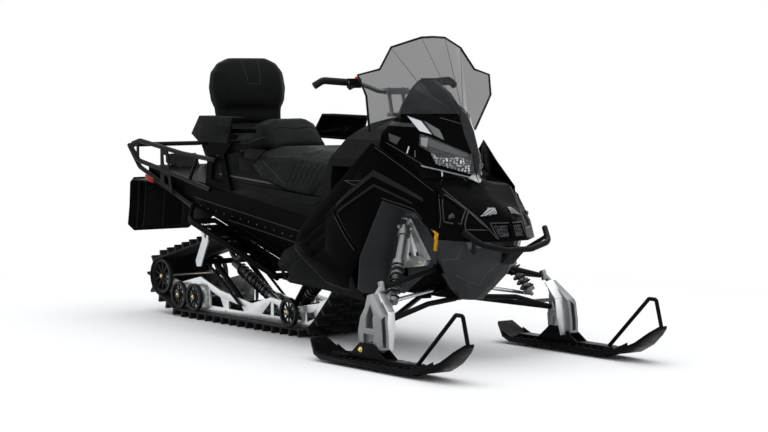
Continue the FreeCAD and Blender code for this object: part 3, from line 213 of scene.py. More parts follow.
def twin(obj, name, change):
    other = obj.copy()
    other.data = obj.data.copy()
    other.name = name
    bpy.context.scene.collection.objects.link(other)
    other.data.transform(change)
    return other


def mirrored(obj, name):
    other = twin(obj, name, Matrix.Diagonal((-1.0, 1.0, 1.0, 1.0)))
    other.data.flip_normals()
    return other


# Copies of one pattern, which is removed afterwards
def repeated(pattern, places, turn=Matrix.Identity(4)):
    copies = [twin(pattern, pattern.name, Matrix.Translation(point) @ turn) for point in places]
    bpy.data.objects.remove(pattern)
    return copies


def place(obj, body):
    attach(obj, body)
    return obj


def merged_copy(node, name):
    copy = twin(nodes[node], name, Matrix.Identity(4))
    copy.parent = None
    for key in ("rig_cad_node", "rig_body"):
        if key in copy:
            del copy[key]
    copy.data.materials.clear()
    copy.hide_set(False)
    copy.hide_viewport = False
    copy.hide_render = False
    only(copy)
    bpy.ops.mesh.customdata_custom_splitnormals_clear()
    with editing():
        bpy.ops.mesh.remove_doubles(threshold=MERGE_DISTANCE)
        bpy.ops.mesh.dissolve_limited(angle_limit=FLAT_ANGLE)
    return copy


def rounded_copy(node, name, finish, width, segments=2, degrees=26.0):
    piece = smooth(bevel(merged_copy(node, name), width, segments, degrees))
    piece.data.materials.append(finish_of(finish))
    place(piece, nodes[node]["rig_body"])
    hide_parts(node)


# Places are written in tenths of a metre: across, along from the ski bolts to the rear, and up
def spot(across, along, up):
    return Vector((across / 10.0, along / 10.0 - 1.0, up / 10.0))


def upright(across, outline):
    return [spot(across, along, up) for along, up in outline]


def seen_from(view, first, second):
    if view is FRONT:
        return spot(first, 10.0, second)
    if view is ABOVE:
        return spot(first, second, 0.0)
    return spot(0.0, first, second)


def note_surface(name, mesh):
    corners = [vertex.co.copy() for vertex in mesh.vertices]
    surfaces[name] = BVHTree.FromPolygons(corners, [tuple(face.vertices) for face in mesh.polygons])


def on_surface(node, view, first, second, lift=0.0):
    if node not in surfaces:
        note_surface(node, nodes[node].data)
    start = seen_from(view, first, second) + view * RAY_START
    hit = surfaces[node].ray_cast(start, -view)[0]
    if hit is None:
        raise RuntimeError("No surface of " + node + " at " + str((round(first, 2), round(second, 2))))
    return hit + view * lift


# Joins the parts of a piece, mirrors them to the far side and gives them their finish
def group_of(name, parts, finish, body="chassis", both=True):
    piece = join(name, parts)
    if both:
        piece = join(name, [piece, mirrored(piece, name + "_far")])
    piece.data.materials.clear()
    piece.data.materials.append(finish_of(finish))
    return place(piece, body)


# Skin of a CAD part inside a convex outline, made a thin raised plate
def skin_plate(node, view, outline, name, thickness):
    plate = merged_copy(node, name)
    corners = [seen_from(view, *pair) for pair in outline]
    centre = sum(corners, Vector()) / len(corners)
    with editing():
        for first, second in zip(corners, corners[1:] + corners[:1]):
            outward = (second - first).cross(view).normalized()
            if outward.dot(centre - first) > 0.0:
                outward.negate()
            bpy.ops.mesh.select_all(action="SELECT")
            bpy.ops.mesh.bisect(plane_co=first, plane_no=outward, clear_outer=True)
    with editing():
        bpy.ops.mesh.select_mode(type="FACE")
        bpy.ops.mesh.select_all(action="DESELECT")
    for face in plate.data.polygons:
        face.select = face.normal.dot(view) < FACING_SHARE or view is SIDE and face.center.x > 0.0
    bpy.ops.object.mode_set(mode="EDIT")
    bpy.ops.mesh.delete(type="FACE")
    bpy.ops.object.mode_set(mode="OBJECT")
    if not plate.data.polygons:
        raise RuntimeError("No skin left for " + name)
    return thickened(plate, thickness, 1.0)


def skin_plates(name, node, view, thickness, finish, outlines):
    plates = [skin_plate(node, view, outline, name, thickness) for outline in outlines]
    smooth(group_of(name, plates, finish), 30.0)


# Path drawn by extruding one vertex
def path_mesh(name, points):
    select_none()
    bpy.ops.mesh.primitive_plane_add(size=0.01, location=points[0])
    line = bpy.context.object
    line.name = name
    with editing():
        bpy.ops.mesh.select_mode(type="VERT")
        bpy.ops.mesh.merge(type="CENTER")
        for first, second in zip(points, points[1:]):
            bpy.ops.mesh.extrude_region_move(TRANSFORM_OT_translate={"value": second - first})
    return settle(line)


def round_bar(name, points, radius):
    path_mesh(name, points)
    bpy.ops.object.convert(target="CURVE")
    section = bpy.context.object.data
    section.bevel_depth = radius
    section.bevel_resolution = 2
    section.use_fill_caps = True
    bpy.ops.object.convert(target="MESH")
    return smooth(bpy.context.object, 50.0)


# Round bars that lie on a CAD part along lines drawn in one view
def surface_bars(name, node, view, radius, finish, lines, slot="satin_plastic", both=True, spacing=0.25,
                 lift=0.0):
    bars = []
    for line in lines:
        points = []
        for first, second in zip(line, line[1:]):
            steps = max(1, round(math.dist(first, second) / spacing))
            for step in range(steps):
                places = (start + (end - start) * step / steps for start, end in zip(first, second))
                points.append(on_surface(node, view, *places, lift))
        points.append(on_surface(node, view, *line[-1], lift))
        bars.append(round_bar(name, points, radius))
    group_of(name, bars, finish, both=both)


# Flanged hexagon bolt head: one is modelled, and the others are copies of it
def bolt_heads(name, places, radius, finish, axis=(-1.0, 0.0, 0.0), body="chassis",
               both=True):
    select_none()
    bpy.ops.mesh.primitive_cylinder_add(vertices=6, radius=radius * 0.68, depth=radius * 0.8)
    head = bevel(bpy.context.object, radius * 0.12, 1)
    select_none()
    bpy.ops.mesh.primitive_cylinder_add(vertices=16, radius=radius, depth=radius * 0.3,
                                        location=(0.0, 0.0, -radius * 0.35))
    flange = bevel(bpy.context.object, radius * 0.1, 1)
    turn = Vector(axis).to_track_quat("Z", "Y").to_matrix().to_4x4()
    heads = repeated(settle(join(name, [head, flange])), places, turn)
    smooth(group_of(name, heads, finish, body, both), 35.0)


# Spring coil round a damper, from one share of its length to another
def coil(damper, shares, radius, turns, wire):
    start, end = (damper[0].lerp(damper[1], share) for share in shares)
    aside = (end - start).orthogonal().normalized() * radius
    steps = turns * STEPS_IN_TURN
    points = []
    for step in range(steps + 1):
        turned = Quaternion((end - start).normalized(), math.tau * turns * step / steps) @ aside
        points.append(start.lerp(end, step / steps) + turned)
    return round_bar("coil", points, wire)


# Flat plate: an outline drawn by extruding one vertex, filled, given its thickness and rounded
def flat_plate(name, corners, thickness, rounding=0.001):
    plate = path_mesh(name, corners + corners[:1])
    with editing():
        bpy.ops.mesh.remove_doubles(threshold=CLOSING_DISTANCE)
        bpy.ops.mesh.edge_face_add()
    return smooth(bevel(thickened(plate, thickness), rounding, 2, 30.0), 35.0)


# Folded sheet between two edges
def ribbon(name, first, second, thickness):
    band = join(name, [path_mesh(name, first), path_mesh(name + "_far", second)])
    with editing():
        bpy.ops.mesh.bridge_edge_loops()
    return smooth(thickened(band, thickness), 35.0)


# Moulded and metal finishes: colour or its setting, roughness, grain scale, grain depth and what is unusual
MOULDED = {
    "Gloss paint": (("body", "gloss_colour"), 0.16, 260.0, 0.00004,
                    dict(specular=0.009, spread=1.5, rough_spread=0.03)),
    "Satin plastic": (("body", "satin_colour"), 0.46, 1500.0, 0.0002, dict(specular=0.024, spread=1.3)),
    "Pod satin": ((0.0125, 0.0135, 0.014), 0.42, 1500.0, 0.0002, dict(specular=0.06, spread=1.2)),
    "Pale satin plastic": ((0.030, 0.0325, 0.034), 0.42, 1500.0, 0.0002, dict(specular=0.10)),
    "Recess black": ((0.0015, 0.0015, 0.0017), 0.6, 700.0, 0.0002, dict(specular=0.1)),
    "Powder coat": (("metal", "tube_colour"), 0.36, 1100.0, 0.00025, dict(specular=0.05, spread=1.4)),
    "Painted sheet": ((0.0013, 0.0014, 0.0015), 0.34, 700.0, 0.0001,
                      dict(specular=0.012, spread=1.5, stretch=(1.0, 0.2, 1.0))),
    "Cast silver": (("metal", "silver_colour"), 0.36, 420.0, 0.0003,
                    dict(metallic=0.85, spread=1.12, rough_spread=0.1)),
    # Painted shade: the cast silver darkened on the spindles, whose sides turn from the light, while their
    # front plates keep the lit cast silver
    "Knuckle cast": ((0.20, 0.208, 0.212), 0.36, 420.0, 0.0003,
                     dict(metallic=0.85, spread=1.12, rough_spread=0.1)),
    "Bright steel": ((0.62, 0.64, 0.66), 0.2, 600.0, 0.0001,
                     dict(metallic=1.0, spread=1.1, stretch=(0.1, 1.0, 1.0))),
    "Brushed rail": ((0.70, 0.72, 0.73), 0.33, 500.0, 0.0001,
                     dict(metallic=0.85, spread=1.15, stretch=(1.0, 0.05, 1.0))),
    "Zinc bolts": (("metal", "bolt_colour"), 0.3, 800.0, 0.0001, dict(metallic=1.0, spread=1.2)),
    "Damper grey": ((0.14, 0.145, 0.15), 0.33, 500.0, 0.0001, dict(metallic=0.6)),
    "Track rubber": ((0.0085, 0.0087, 0.009), 0.62, 420.0, 0.0005, dict(specular=0.12, spread=1.9)),
    "Flap rubber": ((0.003, 0.0031, 0.0034), 0.5, 380.0, 0.0004, dict(specular=0.03, spread=1.6)),
    "Grip rubber": ((0.005, 0.005, 0.0055), 0.6, 900.0, 0.0004, dict(specular=0.12)),
    "Ski plastic": ((0.003, 0.0031, 0.0033), 0.33, 320.0, 0.0002,
                    dict(specular=0.03, spread=1.6, stretch=(1.0, 0.12, 1.0))),
    "Bar silver": ((0.30, 0.31, 0.32), 0.3, 600.0, 0.0001, dict(metallic=0.85, spread=1.1)),
    "Wheel plastic": ((0.008, 0.0083, 0.009), 0.45, 900.0, 0.0002, dict(specular=0.15, spread=1.5)),
    "Cast iron": ((0.05, 0.05, 0.052), 0.6, 300.0, 0.0006, dict(metallic=0.4)),
    "Axle steel": ((0.30, 0.29, 0.27), 0.35, 500.0, 0.0001, dict(metallic=0.9)),
}

# Plain greys of trim and edges, among them painted highlights along creases, edges and the pod lip, and
# painted light on the pod facets and wheel well panels: value, roughness, metal and gloss
TONES = {
    "Riser silver": (0.42, 0.35, 0.3),
    "Side light": (0.26, 0.2), "Lamp shade": (0.075, 0.2), "Accent white": (0.66, 0.3),
    "Accent grey": (0.13, 0.3), "Lamp trim": (0.16, 0.3, 0.4), "Trim tip": (0.45, 0.3, 0.3),
    "Grille rim": (0.030, 0.3), "Crease edge": (0.060, 0.3), "Vent slit": (0.72, 0.25), "Vent shade": (0.09,),
    "Shoulder patch": (0.050,), "Shoulder band": (0.035,), "Fin silver": (0.20, 0.3, 0.5),
    "Crest grey": (0.055, 0.35), "Latch grey": (0.045,),
    "Pod facet": (0.13, 0.4), "Pod facet low": (0.040, 0.45), "Pod lip": (0.07,),
    "Chevron band": (0.0105, 0.4, 0.0, 0.06), "Panel edge": (0.034, 0.3, 0.0, 0.1), "Glazing crease": (0.22,),
    "Cushion seam": (0.0035, 0.5, 0.0, 0.05), "Cushion welt": (0.024, 0.5, 0.0, 0.08),
    "Spring black": (0.006, 0.35, 0.0, 0.15), "Bolt dark": (0.02, 0.3, 0.8),
    "Tunnel bead": (0.014, 0.35, 0.0, 0.1), "Rivet grey": (0.10, 0.35, 0.7),
    "Flap rib": (0.010, 0.5, 0.0, 0.08), "Base stripe": (0.045,), "Nose fold": (0.075, 0.35),
    "Bracket grey": (0.09, 0.35, 0.2), "Well panel": (0.075,),
}

LAMP_COLOURS = {
    "Amber lens": (0.50, 0.26, 0.012), "Amber strip": (0.52, 0.27, 0.015),
    "Red reflector": (0.22, 0.010, 0.008), "Stop red": (0.62, 0.012, 0.012),
}

# Painted shade: share of the vinyl colour that each cushion has, lower on the passenger cushion and backrest,
# which the light reaches less
CUSHION_PAINTED_SHADE = {"driver_cushion vinyl": 1.0, "passenger_cushion vinyl": 0.85, "backrest vinyl": 0.75}


# Material helpers: every finish reads Object coordinates
def shader(name, rough=0.5, specular=0.5):
    material = bpy.data.materials.new(name)
    material.use_nodes = True
    tree = material.node_tree
    principled = next(node for node in tree.nodes if node.type == "BSDF_PRINCIPLED")
    principled.inputs["Roughness"].default_value = rough
    principled.inputs["Specular IOR Level"].default_value = specular
    coordinates = tree.nodes.new("ShaderNodeTexCoord")
    return material, tree, principled, coordinates.outputs["Object"]


# New node with its own settings, the values of its inputs and the links into them
def added(tree, kind, values, links, **own):
    node = tree.nodes.new("ShaderNode" + kind)
    for key, value in own.items():
        setattr(node, key, value)
    for key, value in values.items():
        node.inputs[key].default_value = value
    for key, source in links.items():
        tree.links.new(source, node.inputs[key])
    return node


def noise(tree, source, scale, detail=4.0, stretch=(1.0, 1.0, 1.0)):
    mapping = added(tree, "Mapping", {"Scale": stretch}, {"Vector": source})
    links = {"Vector": mapping.outputs["Vector"]}
    return added(tree, "TexNoise", {"Scale": scale, "Detail": detail}, links).outputs["Fac"]


def cell_distance(tree, source, scale, feature="F1", randomness=1.0):
    values = {"Scale": scale, "Randomness": randomness}
    return added(tree, "TexVoronoi", values, {"Vector": source}, feature=feature).outputs["Distance"]


def ranged(tree, source, low, high, start=0.3, end=0.7):
    values = {"From Min": start, "From Max": end, "To Min": low, "To Max": high}
    return added(tree, "MapRange", values, {"Value": source}).outputs["Result"]


def arithmetic(tree, operation, first, second):
    return added(tree, "Math", {}, {0: first, 1: second}, operation=operation).outputs["Value"]


def tinted(tree, principled, source, first, second):
    colours = {"A": (*first, 1.0), "B": (*second, 1.0)}
    mix = added(tree, "Mix", colours, {"Factor": source}, data_type="RGBA")
    tree.links.new(mix.outputs["Result"], principled.inputs["Base Color"])


def bumped(tree, principled, height, strength, distance):
    bump = added(tree, "Bump", {"Strength": strength, "Distance": distance}, {"Height": height})
    tree.links.new(bump.outputs["Normal"], principled.inputs["Normal"])


def lighter(colour, share):
    return tuple(min(1.0, channel * share) for channel in colour)


def moulded(name, colour, rough, grain_scale, grain_depth, metallic=0.0, specular=0.5, spread=1.35,
            rough_spread=0.08, stretch=(1.0, 1.0, 1.0)):
    if isinstance(colour[0], str):
        colour = getattr(settings(colour[0]), colour[1])
    material, tree, principled, source = shader(name, rough, specular)
    cloud = ranged(tree, noise(tree, source, 9.0), 0.0, 1.0)
    tinted(tree, principled, cloud, colour, lighter(colour, spread))
    fine = noise(tree, source, grain_scale, 3.0, stretch)
    wear = ranged(tree, noise(tree, source, 27.0, 6.0), rough - rough_spread, rough + rough_spread)
    tree.links.new(wear, principled.inputs["Roughness"])
    bumped(tree, principled, fine, 0.6, grain_depth)
    principled.inputs["Metallic"].default_value = metallic
    return material


def tone(name, value, rough=0.4, metallic=0.0, specular=0.2):
    colour = (value * 0.97, value, value * 1.03)
    return moulded(name, colour, rough, 900.0, 0.0001, metallic=metallic, specular=specular, spread=1.2)


def lamp_colour(name, colour):
    return moulded(name, colour, 0.16, 300.0, 0.00005, specular=0.12, spread=1.15, rough_spread=0.04)


def reflector_cells(name):
    material, tree, principled, source = shader(name, 0.25, 0.3)
    distance = cell_distance(tree, source, 92.0, randomness=0.55)
    bead = ranged(tree, distance, 1.0, 0.0, 0.25, 0.55)
    spread = ranged(tree, noise(tree, source, 26.0, 2.0), 0.15, 1.0, 0.38, 0.66)
    glow = arithmetic(tree, "MULTIPLY", bead, spread)
    tinted(tree, principled, glow, (0.035, 0.036, 0.038), (0.78, 0.80, 0.82))
    bumped(tree, principled, distance, 0.6, 0.001)
    return material


def grille_mesh(name):
    material, tree, principled, source = shader(name, 0.5, 0.1)
    distance = cell_distance(tree, source, 70.0, "DISTANCE_TO_EDGE", 0.1)
    wire = ranged(tree, distance, 1.0, 0.0, 0.06, 0.16)
    tinted(tree, principled, wire, (0.0012, 0.0012, 0.0014), (0.045, 0.047, 0.05))
    bumped(tree, principled, wire, 0.8, 0.002)
    return material


def vinyl(name):
    # Each cushion's painted shade darkens the vinyl colour
    colour = lighter(settings("seat").vinyl_colour, CUSHION_PAINTED_SHADE[name])
    material, tree, principled, source = shader(name, specular=0.032)
    grain = cell_distance(tree, source, 420.0, "SMOOTH_F1")
    soft = ranged(tree, noise(tree, source, 7.0), 0.0, 1.0)
    tinted(tree, principled, soft, colour, lighter(colour, 1.35))
    tree.links.new(ranged(tree, noise(tree, source, 30.0), 0.40, 0.56), principled.inputs["Roughness"])
    bumped(tree, principled, grain, 0.5, 0.0004)
    principled.inputs["Sheen Weight"].default_value = 0.01
    return material


def glazing(name, rough, specular, cloud, first, second, alpha):
    material, tree, principled, source = shader(name, rough, specular)
    tinted(tree, principled, ranged(tree, noise(tree, source, *cloud), 0.0, 1.0), first, second)
    principled.inputs["Alpha"].default_value = alpha
    return material


def smoked_glass(name):
    tint = settings("body").glass_tint
    return glazing(name, 0.06, 0.04, (3.0, 2.0), (0.030, 0.032, 0.034), (0.040, 0.042, 0.044), tint)


def clear_lens(name):
    return glazing(name, 0.05, 0.6, (12.0, 4.0), (0.02, 0.021, 0.022), (0.035, 0.037, 0.04), 0.42)


PATTERNED = {
    "Lamp reflector": reflector_cells, "Grille mesh": grille_mesh, "Smoked glazing": smoked_glass,
    "Clear lens": clear_lens,
}


def finish_of(name):
    if name not in finishes:
        if name in MOULDED:
            *values, extra = MOULDED[name]
            finishes[name] = moulded(name, *values, **extra)
        elif name in TONES:
            finishes[name] = tone(name, *TONES[name])
        elif name in LAMP_COLOURS:
            finishes[name] = lamp_colour(name, LAMP_COLOURS[name])
        else:
            finishes[name] = PATTERNED.get(name, vinyl)(name)
    return finishes[name]


class SNOWMOBILE_OT_stage(bpy.types.Operator):
    """Set the camera of the photograph, the pale floor, the soft studio light and the white background"""
    bl_idname = "snowmobile.stage"
    bl_label = "Camera, floor and light"

    def execute(self, context):
        look = settings("stage")
        scene = context.scene
        scene.view_settings.view_transform = "Standard"
        scene.view_settings.look = "None"
        turn = (math.radians(90.0) - look.camera_dip, 0.0, -look.camera_turn)
        bpy.ops.object.camera_add(location=look.camera_place, rotation=turn)
        camera = context.object
        camera.name = "photo_camera"
        camera.data.sensor_width = 36.0
        camera.data.lens = look.lens
        camera.data.clip_end = 200.0
        scene.camera = camera
        self.floor(look.floor_size)
        self.lights()
        self.background(scene)
        return {"FINISHED"}

    # The floor fades into the white background with its distance from the machine
    def floor(self, size):
        bpy.ops.mesh.primitive_plane_add(size=size, location=(0.0, 0.0, -0.001))
        ground = bpy.context.object
        ground.name = "studio_floor"
        material, tree, principled, source = shader("Studio floor", 0.85, 0.1)
        principled.inputs["Base Color"].default_value = (0.93, 0.93, 0.935, 1.0)
        reach = added(tree, "VectorMath", {}, {0: source}, operation="LENGTH")
        fade = ranged(tree, reach.outputs["Value"], 0.0, 1.0, 2.1, 3.6)
        shown = arithmetic(tree, "MULTIPLY", fade, self.shown_rays(tree))
        output = next(node for node in tree.nodes if node.type == "OUTPUT_MATERIAL")
        self.blend(tree, shown, principled, tree.nodes.new("ShaderNodeEmission"), output)
        ground.data.materials.append(material)

    def blend(self, tree, share, first, second, output):
        mix = added(tree, "MixShader", {}, {"Fac": share, 1: first.outputs[0], 2: second.outputs[0]})
        tree.links.new(mix.outputs["Shader"], output.inputs["Surface"])

    def shown_rays(self, tree):
        path = tree.nodes.new("ShaderNodeLightPath")
        rays = path.outputs["Is Camera Ray"]
        for other in ("Is Glossy Ray", "Is Transmission Ray"):
            rays = arithmetic(tree, "MAXIMUM", rays, path.outputs[other])
        return rays

    def lights(self):
        table = (
            ("key_soft_box", (-5.5, -4.5, 5.5), 5.5, 95.0),
            ("tail_soft_box", (-4.0, 5.5, 4.5), 4.5, 45.0),
            ("front_soft_box", (3.2, -6.5, 4.0), 4.0, 45.0),
            ("top_soft_box", (0.3, 0.3, 6.0), 10.0, 420.0),
        )
        for name, location, size, power in table:
            aim = Vector((0.0, 0.0, 0.5)) - Vector(location)
            turn = aim.to_track_quat("-Z", "Y").to_euler()
            bpy.ops.object.light_add(type="AREA", location=location, rotation=turn)
            lamp = bpy.context.object
            lamp.name = name
            lamp.data.shape = "SQUARE"
            lamp.data.size = size
            lamp.data.energy = power

    def background(self, scene):
        world = scene.world or bpy.data.worlds.new("Studio")
        scene.world = world
        world.use_nodes = True
        tree = world.node_tree
        tree.nodes.clear()
        soft = added(tree, "Background", {"Color": (0.93, 0.95, 1.0, 1.0), "Strength": 0.45}, {})
        white = added(tree, "Background", {"Color": (1.0, 1.0, 1.0, 1.0), "Strength": 1.0}, {})
        self.blend(tree, self.shown_rays(tree), soft, white, tree.nodes.new("ShaderNodeOutputWorld"))


class SNOWMOBILE_OT_finishes(bpy.types.Operator):
    """Give each CAD part its finish, and round the folded edges of the parts that are seen close up"""
    bl_idname = "snowmobile.finishes"
    bl_label = "Finishes and rounded edges"

    def execute(self, context):
        coats = {
            "Powder coat": ("carrier", "tow_hitch", "hand_controls", "front_bumper", "front_arms",
                            "skid_arms"),
            "Recess black": ("tail_lamp",), "Painted sheet": ("passenger_posts", "bulkhead"),
            "Clear lens": ("headlamps",), "Satin plastic": ("console",), "Bar silver": ("handlebar",),
            "Grip rubber": ("grips",), "Cast iron": ("engine_block",), "Amber lens": ("amber_reflectors",),
            "Damper grey": ("front_shocks", "skid_shocks"), "Axle steel": ("axles",),
            "Bright steel": ("tie_rod_left", "tie_rod_right"), "Wheel plastic": ("wheels",),
        }
        for finish, coated in coats.items():
            for node in coated:
                mesh = nodes[node].data
                mesh.materials.clear()
                mesh.materials.append(finish_of(finish))
        edge = settings("body").edge_radius
        rounded = (
            ("Painted sheet", "black_sheet", 0.0015, 1, "tunnel"),
            ("Painted sheet", "black_sheet", 0.0015, 2, "running_boards"),
            ("Flap rubber", "flap_rubber", 0.002, 2, "snow_flap"),
            ("Satin plastic", "satin_plastic", 0.005, 2, "seat_base", "hand_guards"),
            ("Gloss paint", "gloss_black", edge, 2, "hood"),
            ("Pod satin", "satin_plastic", 0.004, 2, "dash_pod"),
            ("Gloss paint", "gloss_black", edge, 2, "side_panels"),
            ("Satin plastic", "satin_plastic", 0.003, 2, "foot_pans"),
            ("Riser silver", "bright_steel", 0.002, 2, "riser"),
            ("Pale satin plastic", "satin_plastic", 0.003, 2, "well_liners"),
            ("Cast silver", "cast_silver", 0.0015, 2, "shock_towers"),
            ("Pale satin plastic", "satin_plastic", 0.005, 2, "nose_pan"),
            ("Cast silver", "cast_silver", 0.0012, 2, "drop_brackets"),
            # The spindles take the darkened cast silver as painted shade
            ("Knuckle cast", "cast_silver", 0.002, 2, "spindle_left", "spindle_right"),
            ("Ski plastic", "ski_plastic", 0.003, 2, "ski_left", "ski_right"),
            ("Track rubber", "track_rubber", 0.0012, 1, "track"),
            ("Brushed rail", "bright_steel", 0.001, 2, "slide_rails"),
        )
        for finish, slot, width, segments, *shaped in rounded:
            for node in shaped:
                rounded_copy(node, node + "_finish", finish, width, segments)
        return {"FINISHED"}


class SNOWMOBILE_OT_headlamps(bpy.types.Operator):
    """Set the reflectors, side lights and white accents into the lenses of the hood"""
    bl_idname = "snowmobile.headlamps"
    bl_label = "Headlamps and accents"

    def execute(self, context):
        plates = (
            ("lamp_reflector", "headlamps", 0.0008, "Lamp reflector",
             [[(1.16, 9.20), (0.45, 8.93), (0.30, 8.38), (0.86, 8.70)],
              [(0.45, 8.93), (0.12, 9.02), (-0.30, 8.86), (-0.36, 8.22), (0.30, 8.38)]]),
            ("lamp_side_light", "headlamps", 0.0008, "Side light",
             [[(1.62, 9.86), (1.36, 9.82), (1.26, 9.40), (1.54, 9.52)]]),
            ("lamp_shade", "headlamps", 0.0005, "Lamp shade",
             [[(1.36, 9.84), (0.62, 9.48), (-0.10, 9.16), (-0.28, 8.88), (0.12, 9.04), (1.20, 9.22)]]),
            ("accent_panel", "headlamps", 0.0010, "Accent white",
             [[(2.26, 10.80), (1.76, 10.58), (1.30, 9.99), (1.72, 10.14)]]),
            ("accent_return", "hood", 0.0012, "Accent grey",
             [[(1.72, 10.58), (1.16, 10.20), (0.88, 9.74), (1.27, 9.95)]]),
            ("lamp_trim", "hood", 0.0012, "Lamp trim",
             [[(-0.52, 8.03), (1.30, 8.585), (1.34, 8.65), (-0.52, 8.085)]]),
        )
        for name, node, thickness, finish, outlines in plates:
            skin_plates(name, node, SIDE, thickness, finish, outlines)
        tip = [(-0.34, 8.06), (-0.04, 8.34), (-0.02, 7.86)]
        skin_plates("lamp_trim_tip", "hood", FRONT, 0.0014, "Trim tip", [tip])
        return {"FINISHED"}


class SNOWMOBILE_OT_hood_details(bpy.types.Operator):
    """Fit the side vents, nose grilles, latches and fins of the hood, and paint highlights as pale lines along
    its creases and edges
    """
    bl_idname = "snowmobile.hood_details"
    bl_label = "Hood grilles and creases"

    def execute(self, context):
        self.side_lines()
        patch = [(3.02, 10.02), (2.48, 9.82), (2.60, 9.52), (2.92, 9.68)]
        skin_plates("shoulder_patch", "hood", SIDE, 0.0016, "Shoulder patch", [patch])
        shoulder = [(3.24, 10.55), (1.84, 10.44), (1.80, 10.30), (3.24, 10.36)]
        skin_plates("shoulder_band", "hood", SIDE, 0.0014, "Shoulder band", [shoulder])
        self.nose()
        self.crest()
        latch = on_surface("hood", SIDE, -1.36, 6.50)
        bolt_heads("hood_latches", [latch], 0.015, "Latch grey", (-1.0, -0.35, 0.15))
        return {"FINISHED"}

    def side_lines(self):
        table = (
            ("grille_rims", 0.0032, "Grille rim", [
                [(-0.74, 7.43), (-1.62, 6.80), (-1.80, 6.19), (-0.93, 6.25), (-0.74, 7.43)],
                [(-1.72, 6.73), (-2.66, 5.93), (-1.98, 5.95), (-1.72, 6.73)],
            ], "gloss_black"),
            # Painted highlights: pale lines along the creases and edges of the hood, for the light that they
            # catch
            ("hood_creases", 0.0016, "Crease edge", [
                [(-0.47, 7.67), (-1.04, 7.25), (-1.66, 6.80), (-2.40, 6.21), (-2.93, 5.60)],
                [(1.25, 10.73), (0.50, 10.47)],
                [(-0.50, 7.40), (-0.62, 6.97), (-0.70, 6.40), (-0.60, 5.98)],
                [(3.05, 9.60), (2.40, 9.25), (1.64, 8.84), (0.98, 8.50), (0.33, 8.28), (-0.37, 7.97)],
            ]),
            ("vent_slits", 0.0036, "Vent slit", [
                [(2.07, 9.44), (2.09, 9.14)], [(0.62, 8.36), (0.58, 8.14)],
            ], "bright_steel"),
            ("vent_slit_shade", 0.0030, "Vent shade", [[(1.79, 9.27), (1.70, 8.96)]]),
        )
        for name, *rest in table:
            surface_bars(name, "hood", SIDE, *rest)

    def nose(self):
        mesh = [(-0.78, 6.10), (-0.14, 6.12), (-0.16, 5.62), (-0.75, 5.63)]
        skin_plates("nose_mesh", "hood", FRONT, 0.0040, "Grille mesh", [mesh])
        frames = [[(-0.88, 6.22), (-0.10, 6.22)], [(-0.88, 6.22), (-0.82, 5.54)]]
        surface_bars("nose_mesh_frame", "hood", FRONT, 0.0030, "Grille rim", frames, "gloss_black")
        fins = [(-1.12, 6.50), (-0.40, 6.60), (-0.36, 6.84), (-0.62, 6.84)]
        skin_plates("nose_fins", "hood", FRONT, 0.0030, "Fin silver", [fins])
        ribs = [[(-1.02, 6.56), (-0.52, 6.80)], [(-0.90, 6.53), (-0.44, 6.74)], [(-0.78, 6.53), (-0.42, 6.68)]]
        surface_bars("nose_fin_ribs", "hood", FRONT, 0.0022, "Grille rim", ribs, "gloss_black", lift=0.003)

    # Thin fold that stands along the middle of the hood between the lamps
    def crest(self):
        ridge = ((0.62, 11.10), (0.20, 10.84), (-0.24, 10.18), (-0.50, 9.54), (-0.70, 8.89), (-0.60, 8.30))
        foot = ((0.95, 11.00), (0.66, 10.72), (0.36, 10.14), (0.12, 9.52), (-0.06, 8.89), (-0.24, 8.30))
        sides = [ribbon("crest_side", upright(0.0, ridge), upright(across, foot), 0.003)
                 for across in (-0.10, 0.10)]
        group_of("hood_crest", sides, "Crest grey")


class SNOWMOBILE_OT_pod_details(bpy.types.Operator):
    """Paint light onto two facets of the dash pod as paler tones, and a highlight along its lip"""
    bl_idname = "snowmobile.pod_details"
    bl_label = "Dash pod"

    def execute(self, context):
        # Painted light: two facets of the pod are paler, for the light that falls on them
        facet = [(2.96, 12.02), (3.02, 12.34), (0.80, 10.98), (0.66, 10.93)]
        skin_plates("pod_facet", "dash_pod", SIDE, 0.0008, "Pod facet", [facet])
        lower = [(2.90, 11.94), (0.70, 10.93), (1.60, 10.93), (2.86, 11.62)]
        skin_plates("pod_facet_low", "dash_pod", SIDE, 0.0006, "Pod facet low", [lower])
        # Painted highlight along the lip of the pod
        lip = [(2.69, 11.02), (2.48, 11.15), (2.00, 11.00)]
        surface_bars("pod_lip", "dash_pod", SIDE, 0.0030, "Pod lip", [lip])
        return {"FINISHED"}


